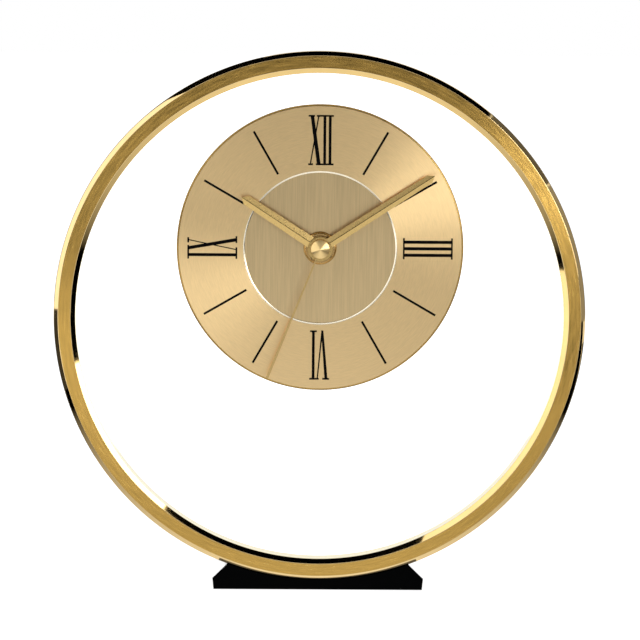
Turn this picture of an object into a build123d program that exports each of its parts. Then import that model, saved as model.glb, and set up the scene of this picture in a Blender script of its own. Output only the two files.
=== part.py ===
"""Round open-hoop mantel clock: a dial carried on a glass disc inside a gold hoop that stands on a low black base.

Millimetres. The origin is the middle of the underside, +Z is up and the dial faces -Y.
"""

import os
from math import atan2, cos, degrees, radians, sin, sqrt

from build123d import *

# Hoop, a chamfered aluminium ring with a rebate behind for the glass
hoop_radius = 105.0
hoop_width = 8.6
hoop_depth = 14.0
hoop_front_chamfer = 1.85
hoop_front_chamfer_depth = 1.55
hoop_back_chamfer = 1.2
hoop_overhang = 1.1
rebate_depth = 2.4
spring_groove_depth = 0.8

# Base block and what fixes it
base_width = 84.1
base_depth = 38.0
base_side_height = 4.5
base_side_undercut = 0.45
base_seat_thickness = 3.8
base_saddle_half_width = 36.2
pad_thickness = 1.0
pad_proud = 0.4
pad_margin = 3.0
pad_corner = 4.0
pad_side_clearance = 0.3
base_screw_spacing = 40.0
base_screw_behind_hoop_front = 8.6
base_screw_radius = 1.5
base_screw_head_radius = 2.9
base_screw_head_height = 1.4
base_screw_bite = 4.6
base_screw_tip_gap = 0.3
screw_driver_size = 1.7

# Glass disc and the split spring ring that holds it in
glass_thickness = 3.0
glass_clearance = 0.3
glass_set_back = 8.5
spring_ring_width = 1.9
spring_ring_thickness = 1.2
spring_ring_gap = 14.0
spring_ring_clearance = 0.1

# Dial of two plates
dial_above_hoop_centre = 27.4
dial_radius = 56.8
dial_plate_thickness = 0.8
chapter_thickness = 0.7
chapter_inner_radius = 29.8
chapter_bevel = 0.5
chapter_inner_bevel = 0.6
chapter_inner_bevel_depth = 0.3
ink_thickness = 0.1

# Roman numerals and hour bars, with the feet towards the middle
numeral_foot_radius = 32.8
numeral_height = 19.7
serif_thickness = 0.65
bar_inner_radius = 33.6
bar_outer_radius = 53.0
bar_width = 0.86

# Clamp through the glass
bush_radius = 4.0
bush_wall_clearance = 0.2
bush_flange_radius = 5.4
bush_flange_thickness = 0.6
dial_washer_radius = 6.6
dial_washer_thickness = 0.4
nut_radius = 6.3
nut_thickness = 1.9
nut_chamfer = 0.5
nut_holes = 4
nut_hole_radius = 0.6
nut_hole_depth = 1.1
nut_hole_direction = -35.0
bush_past_nut = 0.5
rubber_washer_radius = 9.0
rubber_washer_thickness = 0.8

# Hands, each lying flat with a ridge along the middle
hour_hand_length = 37.0
hour_hand_width = 4.7
hour_hand_tip_width = 4.0
minute_hand_length = 53.4
minute_hand_width = 3.9
minute_hand_tip_width = 3.4
second_hand_length = 55.2
second_hand_root_width = 0.55
second_hand_tip_width = 1.0
second_hand_thickness = 0.4
hand_edge_thickness = 0.3
hand_ridge_height = 0.5
hand_tip_length = 2.2
hour_hub_radius = 4.9
minute_hub_radius = 4.6
second_hub_radius = 2.2
hub_thickness = 0.7
hand_gap = 0.9
cap_radius = 3.7
cap_height = 2.4
cap_rim = 0.5
cap_grip = 0.6
hour_hand_angle = 303.0
minute_hand_angle = 57.0
second_hand_angle = 202.0

# Nested spindles, from the second hand's shaft outwards
second_shaft_radius = 0.5
minute_tube_radius = 1.5
hour_tube_radius = 2.5
running_clearance = 0.06
tube_end = 0.2

# Movement case
case_corner = 3.0
case_depth = 16.0
case_wall = 1.5
case_front_wall = 1.2
case_back_wall = 1.2
battery_radius = 7.25
battery_length = 50.5
battery_nub_radius = 2.7
battery_nub_length = 1.3
battery_clearance = 0.25
leaf_spring_room = 1.2
contact_boss_height = 0.7
gear_room_clearance = 0.96
partition_wall = 1.0
finger_notch_radius = 7.0
clip_width = 7.0
clip_length = 5.0
clip_thickness = 1.0
clip_height = 12.0
lug_width = 3.0
lug_height = 1.2
lug_window_clearance = 0.3
arbor_radius = 0.5
boss_radius = 1.5
pivot_depth = 2.0
lid_boss_height = 0.8
end_shake = 0.2

# Gear train: centre distances, directions from the middle and tooth counts
third_distance = 10.5
third_direction = 90.0
intermediate_distance = 10.6
intermediate_direction = 20.0
rotor_distance = 7.2
rotor_direction = 50.0
motion_distance = 9.6
motion_direction = 180.0
knob_direction = 180.0
second_pinion_teeth = 8
third_wheel_teeth = 60
third_pinion_teeth = 8
centre_wheel_teeth = 64
intermediate_pinion_teeth = 8
second_wheel_teeth = 48
rotor_pinion_teeth = 8
intermediate_wheel_teeth = 40
cannon_pinion_teeth = 12
motion_wheel_teeth = 36
motion_pinion_teeth = 10
hour_wheel_teeth = 40
knob_pinion_teeth = 12
wheel_thickness = 0.8
pinion_overhang = 0.2
layer_gap = 0.6
tooth_addendum_share = 0.7
tooth_dedendum_share = 1.0
tooth_tip_share = 0.26
tooth_root_share = 0.52

# Stepping motor, circuit and battery contacts
magnet_radius = 2.1
magnet_length = 2.4
magnet_air_gap = 0.5
stator_thickness = 1.2
stator_rim = 3.0
stator_bar_width = 3.4
coil_wall_gap = 1.0
coil_end_gap = 2.6
coil_radius = 3.2
bobbin_flange_radius = 3.5
bobbin_flange = 0.8
bobbin_tube_wall = 0.5
core_end_gap = 6.5
core_height = 3.2
core_thickness = 1.2
core_clearance = 0.1
core_screw_radius = 0.8
core_screw_head_radius = 1.5
core_screw_head_height = 0.8
core_screw_length = 6.0
post_radius = 1.6
board_thickness = 1.0
board_width = 13.0
board_height = 10.2
board_edge_gap = 1.0
board_floor_gap = 1.3
board_post_inset = 2.0
board_part_inset = 1.0
crystal_radius = 1.0
crystal_length = 6.0
chip_size = 4.0
chip_thickness = 0.9
contact_thickness = 0.3
contact_width = 6.0
contact_boss_radius = 2.0
contact_slot_clearance = 0.2
tongue_length = 2.2

# Setting knob
knob_radius = 5.5
knob_height = 3.4
knob_lift = 0.4
knob_flutes = 24
knob_flute_radius = 0.35
knob_shaft_radius = 1.4


def polar(distance, direction):
    """Point seen from the front, with the direction anticlockwise from the right."""
    return distance * cos(radians(direction)), distance * sin(radians(direction))


def step_from(spot, distance, direction):
    """Spot a distance away from another spot."""
    across, up = polar(distance, direction)
    return spot[0] + across, spot[1] + up


def mesh_module(distance, teeth, other_teeth):
    """Module that makes two tooth counts meet at a centre distance."""
    return 2 * distance / (teeth + other_teeth)


def tip_radius(teeth, module):
    """Outer radius of a gear."""
    return module * teeth / 2 + tooth_addendum_share * module


# Heights
base_bottom = pad_proud
hoop_lowest = base_bottom + base_seat_thickness
hoop_z = hoop_lowest + hoop_radius
dial_z = hoop_z + dial_above_hoop_centre

# Depths, with +Y to the back
hand_stack = (
    dial_plate_thickness
    + dial_washer_thickness
    + nut_thickness
    + bush_past_nut
    + hand_gap / 2
    + 2 * (hub_thickness + hand_gap)
    + second_hand_thickness
    + cap_height
)
cap_before_hoop = max(0.0, hand_stack - glass_set_back)
overall_depth = cap_before_hoop + hoop_overhang + base_depth
hoop_front = -overall_depth / 2 + cap_before_hoop
hoop_back = hoop_front + hoop_depth
base_front = hoop_front + hoop_overhang
base_back = base_front + base_depth
base_y = (base_front + base_back) / 2
base_screw_y = hoop_front + base_screw_behind_hoop_front
glass_front = hoop_front + glass_set_back
glass_back = glass_front + glass_thickness
dial_back = glass_front
dial_middle = dial_back - dial_plate_thickness
dial_front = dial_middle - chapter_thickness
washer_front = dial_middle - dial_washer_thickness
nut_front = washer_front - nut_thickness
bush_front = nut_front - bush_past_nut
hour_hand_back = bush_front - hand_gap / 2
hour_hand_front = hour_hand_back - hub_thickness
minute_hand_back = hour_hand_front - hand_gap
minute_hand_front = minute_hand_back - hub_thickness
second_hand_back = minute_hand_front - hand_gap
second_hand_front = second_hand_back - second_hand_thickness
cap_front = second_hand_front - cap_height
case_front = glass_back + rubber_washer_thickness
case_inside = case_front + case_front_wall
case_back = case_front + case_depth
cover_inside = case_back - case_back_wall

# Radii
hoop_inner_radius = hoop_radius - hoop_width
rebate_radius = hoop_inner_radius + rebate_depth
glass_radius = rebate_radius - glass_clearance
spring_groove_radius = rebate_radius + spring_groove_depth
spring_ring_outer = spring_groove_radius - spring_ring_clearance
bush_bore = hour_tube_radius + running_clearance
hour_tube_bore = minute_tube_radius + running_clearance
minute_tube_bore = second_shaft_radius + running_clearance

# Layers of wheels from the dial side to the back
layer_pitch = wheel_thickness + layer_gap
hour_layer = case_inside + layer_gap / 2
motion_layer = hour_layer + layer_pitch
centre_layer = motion_layer + layer_pitch
third_layer = centre_layer + layer_pitch
second_layer = third_layer + layer_pitch
intermediate_layer = second_layer + layer_pitch
magnet_layer = intermediate_layer + layer_pitch
stator_layer = magnet_layer + (magnet_length - stator_thickness) / 2
core_layer = stator_layer - core_thickness
coil_y = core_layer + core_thickness / 2

# Spots of the arbors, across and up from the middle of the dial
middle = (0.0, 0.0)
third_spot = polar(third_distance, third_direction)
intermediate_spot = polar(intermediate_distance, intermediate_direction)
rotor_spot = step_from(intermediate_spot, rotor_distance, rotor_direction)
motion_spot = polar(motion_distance, motion_direction)
motion_module = mesh_module(motion_distance, cannon_pinion_teeth, motion_wheel_teeth)
knob_distance = motion_module * (motion_wheel_teeth + knob_pinion_teeth) / 2
knob_spot = step_from(motion_spot, knob_distance, knob_direction)

# Modules of the meshing pairs
second_module = mesh_module(intermediate_distance, intermediate_pinion_teeth, second_wheel_teeth)
third_module = mesh_module(third_distance, second_pinion_teeth, third_wheel_teeth)
centre_module = mesh_module(third_distance, third_pinion_teeth, centre_wheel_teeth)
hour_module = mesh_module(motion_distance, motion_pinion_teeth, hour_wheel_teeth)
intermediate_module = mesh_module(rotor_distance, rotor_pinion_teeth, intermediate_wheel_teeth)

# Movement case: as wide as the cell and its contacts, with the battery bay below the widest wheel
case_room = (battery_length + leaf_spring_room + contact_boss_height + 2 * contact_thickness) / 2
case_half = case_room + case_wall
widest_wheel = max(
    tip_radius(centre_wheel_teeth, centre_module),
    tip_radius(second_wheel_teeth, second_module),
    tip_radius(hour_wheel_teeth, hour_module),
)
gear_room_bottom = -widest_wheel - gear_room_clearance
bay_top = gear_room_bottom - partition_wall
bay_width = 2 * (battery_radius + battery_clearance)
bay_bottom = bay_top - bay_width
case_bottom = bay_bottom - case_wall
case_height = case_half - case_bottom
case_middle = (case_half + case_bottom) / 2
battery_up = (bay_bottom + bay_top) / 2
battery_y = case_inside + battery_clearance + battery_radius
battery_left = -case_room + contact_thickness + leaf_spring_room
battery_right = battery_left + battery_length

# Coil along the top of the case and circuit board in its lower right corner
coil_height = case_room - coil_wall_gap - bobbin_flange_radius
core_half_length = case_room - core_end_gap
coil_half_length = core_half_length - stator_bar_width - coil_end_gap
board_right = case_room - board_edge_gap
board_left = board_right - board_width
board_bottom = gear_room_bottom + board_floor_gap
board_top = board_bottom + board_height
board_layer = magnet_layer + magnet_length / 2
board_back = board_layer + board_thickness
contact_back = cover_inside - 2 * end_shake
contact_front = battery_y - battery_radius / 2
tongue_up = (board_top + board_bottom) / 2
battery_plane = Plane(origin=(0, battery_y, dial_z + battery_up), x_dir=(0, 1, 0), z_dir=(1, 0, 0))


def front_view(y, spot=(0.0, 0.0), z=dial_z):
    """Plane seen from the front at a depth, so that extruding comes towards the viewer."""
    return Plane(origin=(spot[0], y, z + spot[1]), x_dir=(1, 0, 0), z_dir=(0, -1, 0))


def lathe_view(spot=(0.0, 0.0), z=dial_z):
    """Plane through a front-to-back axis, with the radius across and the depth up."""
    return Plane(origin=(spot[0], 0, z + spot[1]), x_dir=(1, 0, 0), z_dir=(0, 0, 1))


def lathe_axis(spot=(0.0, 0.0), z=dial_z):
    """Front-to-back axis through a spot."""
    return Axis((spot[0], 0, z + spot[1]), (0, 1, 0))


def facing(own, other):
    """Direction from one arbor to another, in degrees."""
    return degrees(atan2(other[1] - own[1], other[0] - own[0]))


def facing_gap(own, other, teeth):
    """Direction of the tooth beside the gap that faces another arbor."""
    return facing(own, other) + 180 / teeth


def gear_points(teeth, module, tooth_direction):
    """Outline of a gear that has a tooth in the given direction."""
    pitch = 360 / teeth
    root_radius = module * teeth / 2 - tooth_dedendum_share * module
    outer_radius = tip_radius(teeth, module)
    points = []
    for tooth in range(teeth):
        middle_direction = tooth_direction + tooth * pitch
        points.append(polar(root_radius, middle_direction - tooth_root_share * pitch / 2))
        points.append(polar(outer_radius, middle_direction - tooth_tip_share * pitch / 2))
        points.append(polar(outer_radius, middle_direction + tooth_tip_share * pitch / 2))
        points.append(polar(root_radius, middle_direction + tooth_root_share * pitch / 2))
    return points


def saddle_rise(across):
    """Height of the hoop's outer wall above its lowest point."""
    return hoop_radius - sqrt(hoop_radius**2 - across**2)


os.makedirs("parts", exist_ok=True)

# Hoop
hoop_hole_top = hoop_lowest + saddle_rise(base_screw_spacing / 2) + base_screw_bite
with BuildPart() as hoop:
    with BuildSketch(lathe_view(z=hoop_z)):
        with BuildLine():
            Polyline(
                (hoop_inner_radius, hoop_front + hoop_front_chamfer_depth),
                (hoop_inner_radius + hoop_front_chamfer, hoop_front),
                (hoop_radius - hoop_front_chamfer, hoop_front),
                (hoop_radius, hoop_front + hoop_front_chamfer_depth),
                (hoop_radius, hoop_back - hoop_back_chamfer),
                (hoop_radius - hoop_back_chamfer, hoop_back),
                (rebate_radius, hoop_back),
                (rebate_radius, glass_back + spring_ring_thickness + spring_ring_clearance),
                (spring_groove_radius, glass_back + spring_ring_thickness + spring_ring_clearance),
                (spring_groove_radius, glass_back),
                (rebate_radius, glass_back),
                (rebate_radius, glass_front),
                (hoop_inner_radius, glass_front),
                close=True,
            )
        make_face()
    revolve(axis=lathe_axis(z=hoop_z))
    with BuildSketch(Plane.XY):
        with Locations((-base_screw_spacing / 2, base_screw_y), (base_screw_spacing / 2, base_screw_y)):
            Circle(base_screw_radius)
    extrude(amount=hoop_hole_top + base_screw_tip_gap, mode=Mode.SUBTRACT)
hoop.part.label = "hoop"
export_step(hoop.part, "parts/hoop.step")

# Base block, with a saddle for the hoop
shoulder_z = base_bottom + base_side_height
saddle_edge_z = hoop_lowest + saddle_rise(base_saddle_half_width)
pad_ceiling = pad_thickness
with BuildPart() as base_block:
    with BuildSketch(front_view(base_back, z=0)):
        with BuildLine():
            Polyline(
                (-base_width / 2 + base_side_undercut, base_bottom),
                (base_width / 2 - base_side_undercut, base_bottom),
                (base_width / 2, shoulder_z),
                (base_saddle_half_width, saddle_edge_z),
                (-base_saddle_half_width, saddle_edge_z),
                (-base_width / 2, shoulder_z),
                close=True,
            )
        make_face()
    extrude(amount=base_depth)
    with BuildSketch(front_view(base_back, z=hoop_z)):
        Circle(hoop_radius)
    extrude(amount=base_depth, mode=Mode.SUBTRACT)
    with BuildSketch(Plane.XY):
        with Locations((0, base_y)):
            RectangleRounded(base_width - 2 * pad_margin, base_depth - 2 * pad_margin, pad_corner)
    extrude(amount=pad_ceiling, mode=Mode.SUBTRACT)
    with BuildSketch(Plane.XY.offset(pad_ceiling)):
        with Locations((-base_screw_spacing / 2, base_screw_y), (base_screw_spacing / 2, base_screw_y)):
            Circle(base_screw_radius)
    extrude(amount=hoop_radius, mode=Mode.SUBTRACT)
    for side in (-1, 1):
        with BuildSketch(
            Plane(origin=(side * base_screw_spacing / 2, base_screw_y, 0), x_dir=(1, 0, 0), z_dir=(0, -1, 0))
        ):
            with BuildLine():
                Polyline(
                    (0, pad_ceiling),
                    (base_screw_head_radius, pad_ceiling),
                    (base_screw_radius, pad_ceiling + base_screw_head_height),
                    (0, pad_ceiling + base_screw_head_height),
                    close=True,
                )
            make_face()
        revolve(axis=Axis((side * base_screw_spacing / 2, base_screw_y, 0), (0, 0, 1)), mode=Mode.SUBTRACT)
base_block.part.label = "base_block"
export_step(base_block.part, "parts/base_block.step")

# Countersunk screws up through the base into the hoop
with BuildPart() as base_screws:
    for side in (-1, 1):
        with BuildSketch(
            Plane(origin=(side * base_screw_spacing / 2, base_screw_y, 0), x_dir=(1, 0, 0), z_dir=(0, -1, 0))
        ):
            with BuildLine():
                Polyline(
                    (0, pad_ceiling),
                    (base_screw_head_radius, pad_ceiling),
                    (base_screw_radius, pad_ceiling + base_screw_head_height),
                    (base_screw_radius, hoop_hole_top),
                    (0, hoop_hole_top),
                    close=True,
                )
            make_face()
        revolve(axis=Axis((side * base_screw_spacing / 2, base_screw_y, 0), (0, 0, 1)))
        with BuildSketch(Plane(origin=(side * base_screw_spacing / 2, base_screw_y, pad_ceiling))):
            RegularPolygon(screw_driver_size / 2, 6)
        extrude(amount=base_screw_head_height, mode=Mode.SUBTRACT)
base_screws.part.label = "base_screws"
export_step(base_screws.part, "parts/base_screws.step")

# Felt pad let into the underside
with BuildPart() as base_pad:
    with BuildSketch(Plane.XY):
        with Locations((0, base_y)):
            RectangleRounded(
                base_width - 2 * (pad_margin + pad_side_clearance),
                base_depth - 2 * (pad_margin + pad_side_clearance),
                pad_corner - pad_side_clearance,
            )
    extrude(amount=pad_thickness)
base_pad.part.label = "base_pad"
export_step(base_pad.part, "parts/base_pad.step")

# Glass disc with a hole for the bush
bush_hole_radius = bush_radius + bush_wall_clearance
with BuildPart() as glass_disc:
    with BuildSketch(front_view(glass_back, z=hoop_z)):
        Circle(glass_radius)
        with Locations((0, dial_above_hoop_centre)):
            Circle(bush_hole_radius, mode=Mode.SUBTRACT)
    extrude(amount=glass_thickness)
glass_disc.part.label = "glass_disc"
export_step(glass_disc.part, "parts/glass_disc.step")

# Split ring sprung into a groove behind the glass
with BuildPart() as glass_spring_ring:
    with BuildSketch(front_view(glass_back + spring_ring_thickness, z=hoop_z)):
        Circle(spring_ring_outer)
        Circle(spring_ring_outer - spring_ring_width, mode=Mode.SUBTRACT)
        with Locations((0, -spring_ring_outer)):
            Rectangle(spring_ring_gap, 4 * spring_ring_width, mode=Mode.SUBTRACT)
    extrude(amount=spring_ring_thickness)
glass_spring_ring.part.label = "glass_spring_ring"
export_step(glass_spring_ring.part, "parts/glass_spring_ring.step")

# Back plate of the dial, whose middle shows inside the chapter ring
with BuildPart() as dial_plate:
    with BuildSketch(front_view(dial_back)):
        Circle(dial_radius)
        Circle(bush_hole_radius, mode=Mode.SUBTRACT)
    extrude(amount=dial_plate_thickness)
dial_plate.part.label = "dial_plate"
export_step(dial_plate.part, "parts/dial_plate.step")

# Chapter ring with a polished bevel on both edges
with BuildPart() as chapter_ring:
    with BuildSketch(lathe_view()):
        with BuildLine():
            Polyline(
                (chapter_inner_radius, dial_middle),
                (chapter_inner_radius, dial_front + chapter_inner_bevel_depth),
                (chapter_inner_radius + chapter_inner_bevel, dial_front),
                (dial_radius - chapter_bevel, dial_front),
                (dial_radius, dial_front + chapter_bevel),
                (dial_radius, dial_middle),
                close=True,
            )
        make_face()
    revolve(axis=lathe_axis())
chapter_ring.part.label = "chapter_ring"
export_step(chapter_ring.part, "parts/chapter_ring.step")

# Printed hour bars between the numerals
with BuildPart() as hour_bars:
    with BuildSketch(front_view(dial_front)):
        for hour in (1, 2, 4, 5, 7, 8, 10, 11):
            with Locations(Rotation(0, 0, -30 * hour)):
                with Locations((0, (bar_inner_radius + bar_outer_radius) / 2)):
                    Rectangle(bar_width, bar_outer_radius - bar_inner_radius)
    extrude(amount=ink_thickness)
hour_bars.part.label = "hour_bars"
export_step(hour_bars.part, "parts/hour_bars.step")

# Printed numerals. A stroke is its left and right edge at the foot and at the head, a serif its two ends.
numerals = {
    12: {
        "width": 10.0,
        "strokes": [(3.5, 5.0, 0.8, 2.2), (0.55, 1.05, 3.9, 4.4), (5.95, 7.05, 5.95, 7.05), (8.05, 9.15, 8.05, 9.15)],
        "feet": [(0.0, 1.9), (3.0, 10.0)],
        "heads": [(0.1, 2.6), (3.3, 10.0)],
    },
    3: {
        "width": 8.4,
        "strokes": [(0.98, 2.22, 0.98, 2.22), (3.58, 4.82, 3.58, 4.82), (6.18, 7.42, 6.18, 7.42)],
        "feet": [(0.0, 8.4)],
        "heads": [(0.0, 8.4)],
    },
    6: {
        "width": 7.9,
        "strokes": [(2.4, 3.3, 0.6, 1.8), (2.6, 3.2, 4.5, 5.0), (5.8, 6.9, 5.8, 6.9)],
        "feet": [(5.0, 7.7)],
        "heads": [(0.0, 2.7), (4.1, 7.9)],
    },
    9: {
        "width": 9.0,
        "strokes": [(1.0, 2.2, 1.0, 2.2), (6.98, 8.34, 3.55, 4.85), (3.4, 3.8, 7.4, 7.8)],
        "feet": [(0.0, 4.6), (6.3, 9.0)],
        "heads": [(0.0, 5.4), (6.4, 8.5)],
    },
}
numeral_head_radius = numeral_foot_radius + numeral_height
with BuildPart() as hour_numerals:
    for hour, numeral in numerals.items():
        turned = Rotation(0, 0, -30 * hour)
        left = -numeral["width"] / 2
        with BuildSketch(front_view(dial_front) * turned):
            for foot_left, foot_right, head_left, head_right in numeral["strokes"]:
                with BuildLine():
                    Polyline(
                        (left + foot_left, numeral_foot_radius),
                        (left + foot_right, numeral_foot_radius),
                        (left + head_right, numeral_head_radius),
                        (left + head_left, numeral_head_radius),
                        close=True,
                    )
                make_face()
            for serif_left, serif_right in numeral["feet"]:
                with Locations((left + (serif_left + serif_right) / 2, numeral_foot_radius + serif_thickness / 2)):
                    Rectangle(serif_right - serif_left, serif_thickness)
            for serif_left, serif_right in numeral["heads"]:
                with Locations((left + (serif_left + serif_right) / 2, numeral_head_radius - serif_thickness / 2)):
                    Rectangle(serif_right - serif_left, serif_thickness)
        extrude(amount=ink_thickness)
hour_numerals.part.label = "hour_numerals"
export_step(hour_numerals.part, "parts/hour_numerals.step")

# Washer on the middle of the dial
with BuildPart() as dial_washer:
    with BuildSketch(front_view(dial_middle)):
        Circle(dial_washer_radius)
        Circle(bush_hole_radius, mode=Mode.SUBTRACT)
    extrude(amount=dial_washer_thickness)
dial_washer.part.label = "dial_washer"
export_step(dial_washer.part, "parts/dial_washer.step")

# Round nut on the bush, with holes for a pin spanner
with BuildPart() as dial_nut:
    with BuildSketch(lathe_view()):
        with BuildLine():
            Polyline(
                (bush_radius, washer_front),
                (nut_radius, washer_front),
                (nut_radius, nut_front + nut_chamfer),
                (nut_radius - nut_chamfer, nut_front),
                (bush_radius, nut_front),
                close=True,
            )
        make_face()
    revolve(axis=lathe_axis())
    nut_hole_circle = (bush_radius + nut_radius) / 2
    with BuildSketch(front_view(nut_front + nut_hole_depth)):
        with PolarLocations(nut_hole_circle, nut_holes, start_angle=nut_hole_direction):
            Circle(nut_hole_radius)
    extrude(amount=nut_hole_depth, mode=Mode.SUBTRACT)
dial_nut.part.label = "dial_nut"
export_step(dial_nut.part, "parts/dial_nut.step")

# Rubber washer between the glass and the movement
with BuildPart() as rubber_washer:
    with BuildSketch(front_view(case_front)):
        Circle(rubber_washer_radius)
        Circle(bush_hole_radius, mode=Mode.SUBTRACT)
    extrude(amount=rubber_washer_thickness)
rubber_washer.part.label = "rubber_washer"
export_step(rubber_washer.part, "parts/rubber_washer.step")

# Flanged bush, drawn at its thread's outer size, that the nut pulls against the front of the case
flange_front = case_inside - bush_flange_thickness
with BuildPart() as threaded_bush:
    with BuildSketch(lathe_view()):
        with BuildLine():
            Polyline(
                (bush_bore, bush_front),
                (bush_radius, bush_front),
                (bush_radius, flange_front),
                (bush_flange_radius, flange_front),
                (bush_flange_radius, case_inside),
                (bush_bore, case_inside),
                close=True,
            )
        make_face()
    revolve(axis=lathe_axis())
threaded_bush.part.label = "threaded_bush"
export_step(threaded_bush.part, "parts/threaded_bush.step")


def hand_outline(length, width, tip_width):
    """Corners of a hand that points up, from the middle of its hub to a pointed tip."""
    return [
        (-width / 2, 0),
        (width / 2, 0),
        (tip_width / 2, length - hand_tip_length),
        (0, length),
        (-tip_width / 2, length - hand_tip_length),
    ]


def ridge_section(width):
    """Corners of the cross-section of a hand folded along its middle, with the front up."""
    return [
        (-width / 2, 0),
        (width / 2, 0),
        (width / 2, hand_edge_thickness),
        (0, hand_edge_thickness + hand_ridge_height),
        (-width / 2, hand_edge_thickness),
    ]


def hand_section(y, angle):
    """Plane across a hand whose back is at a depth, with its length going out at a clock angle."""
    outwards = (sin(radians(angle)), 0, cos(radians(angle)))
    across = (-cos(radians(angle)), 0, sin(radians(angle)))
    return Plane(origin=(0, y, dial_z), x_dir=across, z_dir=outwards)


# Hour hand
hour_hand_turn = Rotation(0, 0, -hour_hand_angle)
minute_hand_turn = Rotation(0, 0, -minute_hand_angle)
second_hand_turn = Rotation(0, 0, -second_hand_angle)
with BuildPart() as hour_hand:
    with BuildSketch(hand_section(hour_hand_back, hour_hand_angle)):
        with BuildLine():
            Polyline(*ridge_section(hour_hand_width), close=True)
        make_face()
    extrude(amount=hour_hand_length)
    with BuildSketch(front_view(hour_hand_back) * hour_hand_turn):
        with BuildLine():
            Polyline(*hand_outline(hour_hand_length, hour_hand_width, hour_hand_tip_width), close=True)
        make_face()
    extrude(amount=hand_edge_thickness + hand_ridge_height, mode=Mode.INTERSECT)
    with BuildSketch(front_view(hour_hand_back)):
        Circle(hour_hub_radius)
    extrude(amount=hub_thickness)
    with BuildSketch(front_view(hour_hand_back)):
        Circle(hour_tube_radius)
    extrude(amount=hub_thickness + hand_ridge_height, mode=Mode.SUBTRACT)
hour_hand.part.label = "hour_hand"
export_step(hour_hand.part, "parts/hour_hand.step")

# Minute hand
with BuildPart() as minute_hand:
    with BuildSketch(hand_section(minute_hand_back, minute_hand_angle)):
        with BuildLine():
            Polyline(*ridge_section(minute_hand_width), close=True)
        make_face()
    extrude(amount=minute_hand_length)
    with BuildSketch(front_view(minute_hand_back) * minute_hand_turn):
        with BuildLine():
            Polyline(*hand_outline(minute_hand_length, minute_hand_width, minute_hand_tip_width), close=True)
        make_face()
    extrude(amount=hand_edge_thickness + hand_ridge_height, mode=Mode.INTERSECT)
    with BuildSketch(front_view(minute_hand_back)):
        Circle(minute_hub_radius)
    extrude(amount=hub_thickness)
    with BuildSketch(front_view(minute_hand_back)):
        Circle(minute_tube_radius)
    extrude(amount=hub_thickness + hand_ridge_height, mode=Mode.SUBTRACT)
minute_hand.part.label = "minute_hand"
export_step(minute_hand.part, "parts/minute_hand.step")

# Second hand, a thin strip on a small disc
with BuildPart() as second_hand:
    with BuildSketch(front_view(second_hand_back)):
        Circle(second_hub_radius)
    extrude(amount=second_hand_thickness)
    with BuildSketch(front_view(second_hand_back) * second_hand_turn):
        with BuildLine():
            Polyline(
                (-second_hand_root_width / 2, 0),
                (second_hand_root_width / 2, 0),
                (second_hand_tip_width / 2, second_hand_length),
                (-second_hand_tip_width / 2, second_hand_length),
                close=True,
            )
        make_face()
    extrude(amount=second_hand_thickness)
    with BuildSketch(front_view(second_hand_back)):
        Circle(second_shaft_radius)
    extrude(amount=second_hand_thickness, mode=Mode.SUBTRACT)
second_hand.part.label = "second_hand"
export_step(second_hand.part, "parts/second_hand.step")

# Turned conical cap over the end of the second hand's shaft
shaft_front = second_hand_front - cap_grip
with BuildPart() as hand_cap:
    with BuildSketch(lathe_view()):
        with BuildLine():
            Polyline(
                (second_shaft_radius, second_hand_front),
                (cap_radius, second_hand_front),
                (cap_radius, second_hand_front - cap_rim),
                (0, cap_front),
                (0, shaft_front),
                (second_shaft_radius, shaft_front),
                close=True,
            )
        make_face()
    revolve(axis=lathe_axis())
hand_cap.part.label = "hand_cap"
export_step(hand_cap.part, "parts/hand_cap.step")

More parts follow.
